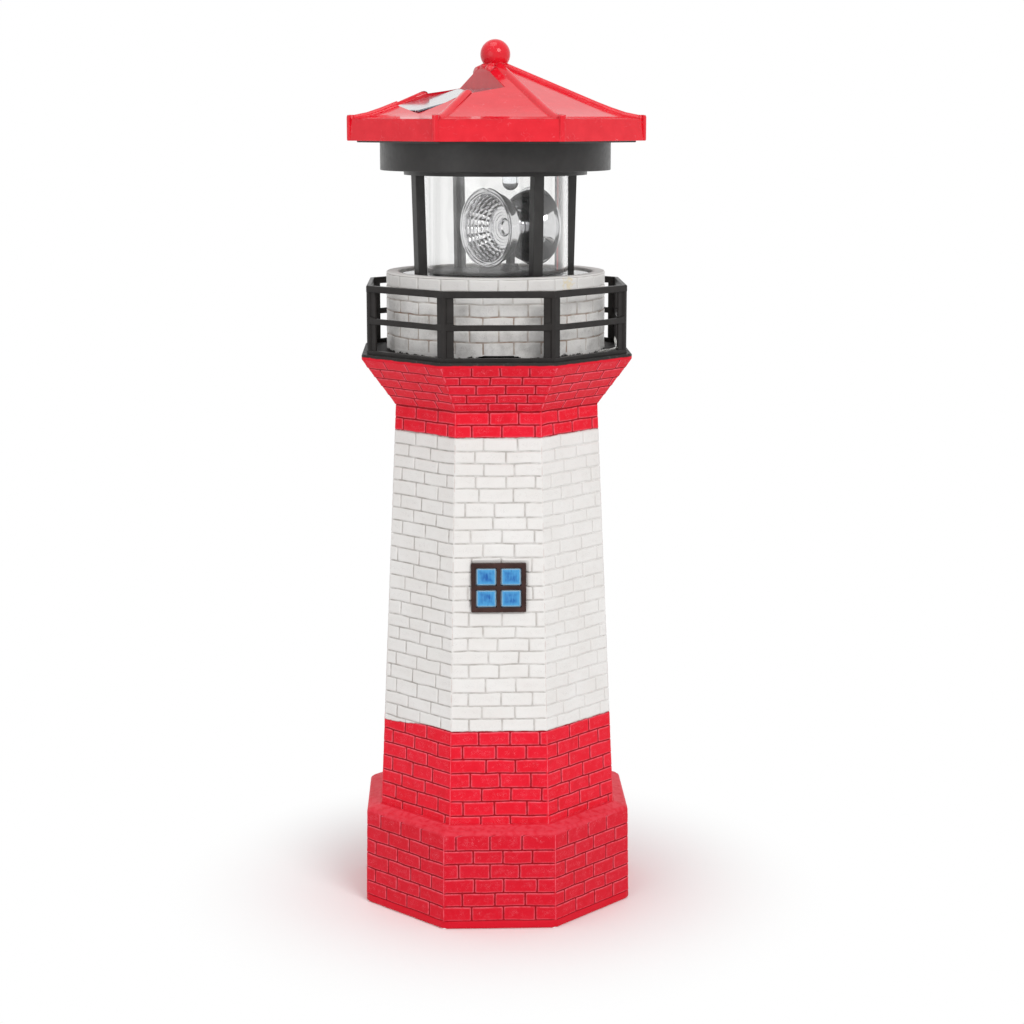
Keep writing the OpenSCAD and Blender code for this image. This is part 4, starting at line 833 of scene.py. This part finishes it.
PANE_GRID, PANE_ROUND, PANE_SWELL, PANE_DIP = 96, 0.7, 0.42, 0.10
half_taper = (SHAFT_W - NECK_W) / 2
lean = atan(half_taper / (NECK_Z - LEDGE_Z))
wall_y = -(SHAFT_W / 2 - (WINDOW_Z - PLINTH_H) * half_taper / (NECK_Z - PLINTH_H))


def window_place(x, y, z):
    """From the window's own frame (across, up the wall, out of it) to the object's."""
    points = np.stack([x, wall_y + y * sin(lean) - z * cos(lean),
                       WINDOW_Z + y * cos(lean) + z * sin(lean)], -1)
    return points.reshape(-1, 3)


def glazing():
    """One slab of glazing whose four lights stand a little proud between the bars."""
    n = PANE_GRID
    sizes = [size - FRAME_BAR - 0.3 for size in (WINDOW_W, WINDOW_H)]
    lights = [(size - 2 * FRAME_BAR - MUNTIN) / 2 for size in (WINDOW_W, WINDOW_H)]
    across, up = np.meshgrid(*(np.linspace(-size / 2, size / 2, n) for size in sizes))
    x, y = (light / 2 - np.abs(np.abs(at) - (light + MUNTIN) / 2)
            for light, at in zip(lights, (across, up)))
    inside = inside_rounded(x, y, PANE_ROUND)
    swell = PANE_SWELL * smooth(0.02, 0.45, inside) - PANE_DIP * smooth(0.5, 2.2, inside)
    front = window_place(across, up, swell)
    back = window_place(across, up, np.full(across.shape, -WINDOW_RECESS + 0.02))
    faces = []
    for a in [i * n + j for i in range(n - 1) for j in range(n - 1)]:
        b = a + n * n
        faces += [(a, a + 1, a + n + 1, a + n), (b, b + n, b + n + 1, b + 1)]
    border = [*range(n), *range(2 * n - 1, n * n, n), *range(n * n - 2, n * (n - 1) - 1, -1),
              *range(n * (n - 2), 0, -n)]
    faces += [(a, a + n * n, b + n * n, b) for a, b in zip(border, border[1:] + border[:1])]
    obj = new_object("window_glazing", np.concatenate([front, back]), faces, 40)
    dress(obj, pane_paint, "tower", "window_panes")
    for name, values in (("edge", smooth(0.0, 0.12, inside) - smooth(0.28, 0.62, inside)),
                         ("deep", smooth(0.3, 2.1, inside)), ("dark", 1 - smooth(-0.05, 0.10, inside))):
        set_mask(obj.data, name, np.tile(values.reshape(-1), 2))


glazing()

# ---- reflector

SECTORS, FACET_STEPS, FACET_ROWS, FACET_SWELL = 28, 4, 7, 0.17
RIM_R, RIM_X, LIP_W, LIP_T = 12.2, 10.25, 0.9, 0.8
WAIST_R, WAIST_HALF, WAIST_STEPS = 5.2, 1.7, 15
EYE_R, EYE_X, EYE_FLOOR = 2.9, 2.6, 1.3
MOUTH_R, MOUTH_X = 10.5, RIM_X - 0.55
GATE_HALF, GATE_DEEP = 0.07, 0.35
BEACON_TURN = radians(220)


def dish(share, r0, x0, r1, x1):
    """A quarter of an ellipse from radius r0 at x0 out to radius r1 at x1."""
    turn = share * pi / 2
    return r0 + (r1 - r0) * sin(turn), x0 + (x1 - x0) * (1 - cos(turn))


def half_profile():
    """From a bowl's eye over its facets and rim to the waist: radius, distance along the axis,
    and swell of a facet, which is None where there are no facets."""
    eye = [(0.9, EYE_FLOOR), (2.0, EYE_FLOOR + 0.15), (2.45, EYE_FLOOR + 0.5), (2.7, 2.3), (EYE_R, EYE_X),
           (3.75, 2.68), (3.85, 2.90), (4.6, 2.96), (4.7, 3.16), (5.55, 3.22), (5.65, 3.36), (6.2, 3.37)]
    bowl = []
    places = [dish(share, EYE_R, EYE_X, MOUTH_R, MOUTH_X)
              for share in np.linspace(0.30, 1.0, FACET_ROWS + 1)]
    for (r0, x0), (r1, x1) in zip(places[:-1], places[1:]):
        for q in np.arange(FACET_STEPS) / FACET_STEPS:
            bowl.append((r0 + (r1 - r0) * q, x0 + (x1 - x0) * q, 1 - (2 * q - 1) ** 2))
    bowl.append((MOUTH_R, MOUTH_X, 0.0))
    rim = [(MOUTH_R + out, RIM_X - back) for out, back in (
        (0.12, 0.5), (0.18, 0.15), (0.35, 0), (0.62, 0), (0.78, 0.15), (0.84, 0.42), (1.10, 0.42),
        (1.16, 0.15), (1.32, 0))]
    rim += [(RIM_R - 0.15, RIM_X), (RIM_R, RIM_X - 0.15), (RIM_R, RIM_X - LIP_T + 0.12),
            (RIM_R - 0.12, RIM_X - LIP_T), (RIM_R - LIP_W + 0.1, RIM_X - LIP_T)]
    rim += [dish(share, WAIST_R, WAIST_HALF, RIM_R - LIP_W, RIM_X - LIP_T)
            for share in np.linspace(1, 0, WAIST_STEPS)]
    return [(*row, None) for row in eye] + bowl + [(*row, None) for row in rim]


def make_reflector():
    lo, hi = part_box("reflector")
    centre = (np.array(lo) + np.array(hi)) / 2 / MM
    side = half_profile()
    section = [(*row, 1) for row in side] + [(WAIST_R, 0.0, None, 1)] + [(*row, -1) for row in side[::-1]]
    n = SECTORS * FACET_STEPS
    turn = np.arange(n) * 2 * pi / n
    across = np.abs((np.arange(n) % FACET_STEPS) / FACET_STEPS * 2 - 1)
    chord = cos(pi / SECTORS) / np.cos(across * pi / SECTORS)
    axis = np.array([cos(BEACON_TURN), sin(BEACON_TURN), 0])
    level = np.array([-sin(BEACON_TURN), cos(BEACON_TURN), 0])
    outwards = np.cos(turn)[:, None] * np.array([0, 0, -1]) + np.sin(turn)[:, None] * level
    points = []
    for r, x, swell, end in section:
        radius, along = np.full(n, r), np.full(n, x)
        if swell is not None:
            push = FACET_SWELL * swell * (1 - across ** 2)
            radius, along = r * chord - push * 0.75, along + push * 0.65
        # Gate mark on top of the rim
        if r > RIM_R - LIP_W:
            radius = np.where(np.abs(turn - pi) < GATE_HALF, radius - GATE_DEEP, radius)
        points.append(centre + (along * end)[:, None] * axis + radius[:, None] * outwards)
    rings = len(section)
    points += [[centre + axis * EYE_FLOOR], [centre - axis * EYE_FLOOR]]
    faces = ring_faces(rings, n)
    for j in range(n):
        k = (j + 1) % n
        faces += [(rings * n, k, j), (rings * n + 1, (rings - 1) * n + j, (rings - 1) * n + k)]
    obj = new_object("beacon_mirror", np.concatenate(points), faces, 17)
    dress(obj, mirror, "rotor", "reflector")
    face_outwards(obj)


make_reflector()

# ---- railing

RAIL_A, RAIL_T, RAIL_TOP = 79.3 / 2, 1.3, 20.9
RAIL_HALF, RAIL_INNER = RAIL_A * HALF_TURN, (RAIL_A - RAIL_T) * HALF_TURN
LEAF_W, FOLD_W, LEAF_SINK, CHAMFER, FOLD_BACK = 3.2, 0.95, 0.62, 0.16, 0.06
MID_LOW, MID_HIGH, TOP_LOW, FOOT_HIGH, FOOT_LOW = 9.25, 10.95, 18.9, 1.2, 0.02
MID_BACK, GUSSET_H = 0.12, 0.55


def on_side(k, apothem, u):
    """A point of the plan, from a side's number, its distance and a place across it."""
    return normals[k % SIDES] * apothem + tangents[k % SIDES] * u


def make_railing():
    verts, faces = [], []

    def prism(plan, low, high):
        """An upright piece over a plan of sides, depths behind the outer face and places across.
        low and high are heights, or one for each of its points."""
        first, n = len(verts), len(plan)
        for level in (low, high):
            verts.extend((*on_side(k, RAIL_A - d, u), DECK_TOP + z)
                         for (k, d, u), z in zip(plan, np.broadcast_to(level, (n,))))
        faces.extend(end_faces(2, n, first) + ring_faces(2, n, first))

    def loop(section):
        """A rail all round with a section of depths behind the outer face and heights."""
        first, n = len(verts), len(section)
        for k in range(SIDES):
            verts.extend((*on_side(k, RAIL_A - d, (RAIL_A - d) * HALF_TURN), DECK_TOP + z)
                         for d, z in section)
        faces.extend(ring_faces(SIDES, n, first, around=True))

    c = CHAMFER
    loop([(0, TOP_LOW + c), (0, RAIL_TOP - 0.3), (0.1, RAIL_TOP - 0.1), (0.3, RAIL_TOP),
          (RAIL_T - c, RAIL_TOP), (RAIL_T, RAIL_TOP - c), (RAIL_T, TOP_LOW), (c, TOP_LOW)])
    loop([(MID_BACK, MID_LOW + c), (MID_BACK, MID_HIGH - 0.2), (0.3, MID_HIGH), (RAIL_T, MID_HIGH),
          (RAIL_T, MID_LOW), (MID_BACK + c, MID_LOW)])
    loop([(0, FOOT_LOW), (0, FOOT_HIGH - 0.2), (0.2, FOOT_HIGH), (RAIL_T, FOOT_HIGH), (RAIL_T, FOOT_LOW)])
    for k in range(SIDES):
        # Fold of a corner post, over both of its sides
        edge = RAIL_HALF - FOLD_W
        prism([(k, c + FOLD_BACK, edge), (k, FOLD_BACK, edge + c), (k, FOLD_BACK, RAIL_HALF - 0.2),
               (k + 1, FOLD_BACK, 0.2 - RAIL_HALF), (k + 1, FOLD_BACK, -edge - c),
               (k + 1, c + FOLD_BACK, -edge), (k + 1, RAIL_T, FOLD_W - RAIL_INNER),
               (k + 1, RAIL_T, -RAIL_INNER), (k, RAIL_T, RAIL_INNER - FOLD_W)], 0.3, TOP_LOW + 0.6)
        for end in (-1, 1):
            post, tip = end * (edge + 0.1), end * (RAIL_HALF - LEAF_W)
            leaf = [(k, LEAF_SINK, post), (k, LEAF_SINK, tip + end * c), (k, LEAF_SINK + c, tip),
                    (k, RAIL_T - 0.05, tip), (k, RAIL_T - 0.05, post)]
            prism(leaf[::-end], 0.5, TOP_LOW + 0.5)
            # Gusset that runs out on top of the middle rail
            gusset = [(k, 0.15, post), (k, 0.3, tip - end * 0.9), (k, 0.6, tip - end * 0.9), (k, 0.6, post)]
            rise = [MID_HIGH + GUSSET_H, MID_HIGH + 0.02, MID_HIGH + 0.02, MID_HIGH + GUSSET_H]
            prism(gusset[::-end], MID_HIGH - 0.2, rise[::-end])
    obj = new_object("railing", verts, faces, 30)
    dress(obj, rail_black, "tower", "gallery_railing")
    face_outwards(obj)


make_railing()

# ---- glue bead

# Its route over the deck from the drum's foot to a post, with heights above the deck
GLUE_ROUTE = [(30.9, -14.4, 0.2), (32.4, -12.0, 0.3), (34.2, -9.6, 0.3), (36.2, -7.2, 0.3),
              (37.4, -3.2, 0.35), (37.9, 1.5, 0.6), (37.9, 4.6, 1.6), (37.8, 6.4, 3.0)]
GLUE_R, GLUE_STEPS, GLUE_SIDES = 0.36, 6, 8


def curve(route, steps):
    """Points of a smooth curve through a route."""
    path = []
    for i in range(len(route) - 1):
        before, a, b, after = (np.array(route[min(max(j, 0), len(route) - 1)]) for j in range(i - 1, i + 3))
        for t in np.arange(steps) / steps:
            path.append(a + (b - before) / 2 * t + (2 * before - 5 * a + 4 * b - after) / 2 * t ** 2
                        + (3 * a - before - 3 * b + after) / 2 * t ** 3)
    return np.array(path)


def glue_bead():
    """A run of clear glue on the deck, between the drum's foot and the railing."""
    n, lumps = GLUE_SIDES, Noise(21)
    path = curve(GLUE_ROUTE, GLUE_STEPS)
    along = np.gradient(path, axis=0)
    along /= np.linalg.norm(along, axis=1)[:, None]
    side = np.cross(along, (0.3, -1.0, 0.2))
    side /= np.linalg.norm(side, axis=1)[:, None]
    other = np.cross(along, side)
    share = np.linspace(0, 1, len(path))
    radius = GLUE_R * np.clip(np.sin(share * pi) * 4, 0.15, 1) * (1 + 0.25 * lumps(share * 9, 0.5))
    turn = (np.arange(n) * 2 * pi / n)[None, :, None]
    outwards = np.cos(turn) * side[:, None] + np.sin(turn) * other[:, None]
    verts = (path[:, None] + radius[:, None, None] * outwards).reshape(-1, 3) + (0, 0, DECK_TOP)
    obj = new_object("glue_bead", verts, ring_faces(len(path), n) + end_faces(len(path), n), 60)
    dress(obj, glue, "tower", None)
    face_outwards(obj)


glue_bead()

# ---- CAD pieces with rounded edges

BEAD_W, BEAD_PROUD, RESIN_H = 1.0, 0.22, 0.8


def corner_bead(k):
    """A bead down a corner of the roof's skirt, round at its top."""
    half, points = SKIRT_A * HALF_TURN, []
    levels = ((SKIRT_LOW + 0.02, 0.05), (SKIRT_LOW + 0.3, BEAD_PROUD), (SKIRT_TOP + 0.5, BEAD_PROUD),
              (SKIRT_TOP + 1.0, BEAD_PROUD * 0.4), (SKIRT_TOP + 1.15, -0.5))
    for z, proud in levels:
        edge = half - BEAD_W
        plan = [(k, edge, -0.4), (k, edge, 0.0), (k, edge + 0.2, proud), (k, half - 0.15, proud)]
        plan += [(k + 1, -u, d) for _, u, d in plan[::-1]]
        points += [(*on_side(j, SKIRT_A + d, u), z) for j, u, d in plan]
    return points, end_faces(len(levels), 8) + ring_faces(len(levels), 8)


softened("window_surround", "window_frame", 0.22, frame_brown, "tower")
softened("red_roof", "roof", 0.18, roof_red, "head",
         added=[corner_bead(k) for k in range(SIDES)])
# The panel's clear resin stands a little above the pocket's floor
panel_up = (sin(POCKET_TILT) * cos(POCKET_DIR), sin(POCKET_TILT) * sin(POCKET_DIR),
            cos(POCKET_TILT))
softened("resin_panel", "solar_panel", 0.3, solar_cells, "head",
         lift=[v * RESIN_H for v in panel_up])
softened("head_housing", "lamp_housing", 0.25, shell_black, "head")
softened("head_frame", "lantern_frame", 0.2, shell_black, "head", shortest=5.0)

# ---- stage

FLOOR_HALF, FLOOR_DROP = 3000, 0.02
SHADOW_FROM, SHADOW_TO = 0.043, 0.11


def stage_floor():
    """A white floor that keeps the shadow near the object and is plain white further out."""
    n = material_nodes("floor_white")
    distance = n.made("ShaderNodeVectorMath", "Value", {0: n.place()}, operation="LENGTH")
    far = n.ramp(distance, SHADOW_FROM, SHADOW_TO, 0, 1, "SMOOTHSTEP")
    path = n.add("ShaderNodeLightPath").outputs
    seen = n.most(path["Is Camera Ray"], n.most(path["Is Glossy Ray"], path["Is Transmission Ray"]))
    matt = n.made("ShaderNodeBsdfDiffuse", 0, {"Color": (0.93, 0.93, 0.93)})
    glow = n.add("ShaderNodeEmission").outputs[0]
    shown_floor = n.shaders(n.times(seen, far), matt, glow)
    # From below and under the hollow tower there is no floor, so that the underside can be looked at
    x, y = (n.math("ABSOLUTE", value) for value in n.split(n.place())[:2])
    apothem = n.most(n.most(x, y), n.times(n.math("ADD", x, y), sqrt(0.5)))
    hole = n.math("LESS_THAN", apothem, (PLINTH_W / 2 - FOOT_EDGE) * MM)
    under = n.most(n.add("ShaderNodeNewGeometry").outputs["Backfacing"], hole)
    clear = n.add("ShaderNodeBsdfTransparent").outputs[0]
    n.link(n.shaders(under, shown_floor, clear), n.out.inputs[0])
    corners = [(x * FLOOR_HALF, y * FLOOR_HALF, 0) for x, y in ((-1, -1), (1, -1), (1, 1), (-1, 1))]
    obj = new_object("floor", corners, [(0, 1, 2, 3)], 30)
    obj.data.materials.append(n.owner)
    obj.location.z = -FLOOR_DROP * MM


def stage_world():
    """White to look at and in reflections, and a softer light."""
    world = bpy.data.worlds.new("studio")
    bpy.context.scene.world = world
    n = Nodes(world, "ShaderNodeOutputWorld")
    path = n.add("ShaderNodeLightPath").outputs
    seen, white = (n.made("ShaderNodeBackground", 0, {"Color": (1, 1, 1), "Strength": strength})
                   for strength in (0.605, 1.0))
    for ray in ("Is Glossy Ray", "Is Transmission Ray", "Is Camera Ray"):
        seen = n.shaders(path[ray], seen, white)
    n.link(seen, n.out.inputs[0])


def area_light(name, place, size, power):
    """A round lamp that looks at the middle of the tower."""
    data = bpy.data.lights.new(name, "AREA")
    data.shape = "DISK"
    data.size = size
    data.energy = power
    obj = linked(name, data)
    obj.location = place
    aim = Vector((0, 0, 0.13)) - Vector(place)
    obj.rotation_euler = aim.to_track_quat("-Z", "Y").to_euler()


stage_floor()
stage_world()
area_light("key", (0.55, -1.0, 0.95), 0.7, 7.0)
area_light("top", (-0.2, -0.1, 1.5), 0.9, 4.0)
area_light("fill", (-0.8, -0.9, 0.35), 0.8, 1.4)
bpy.context.scene.view_settings.view_transform = "Standard"
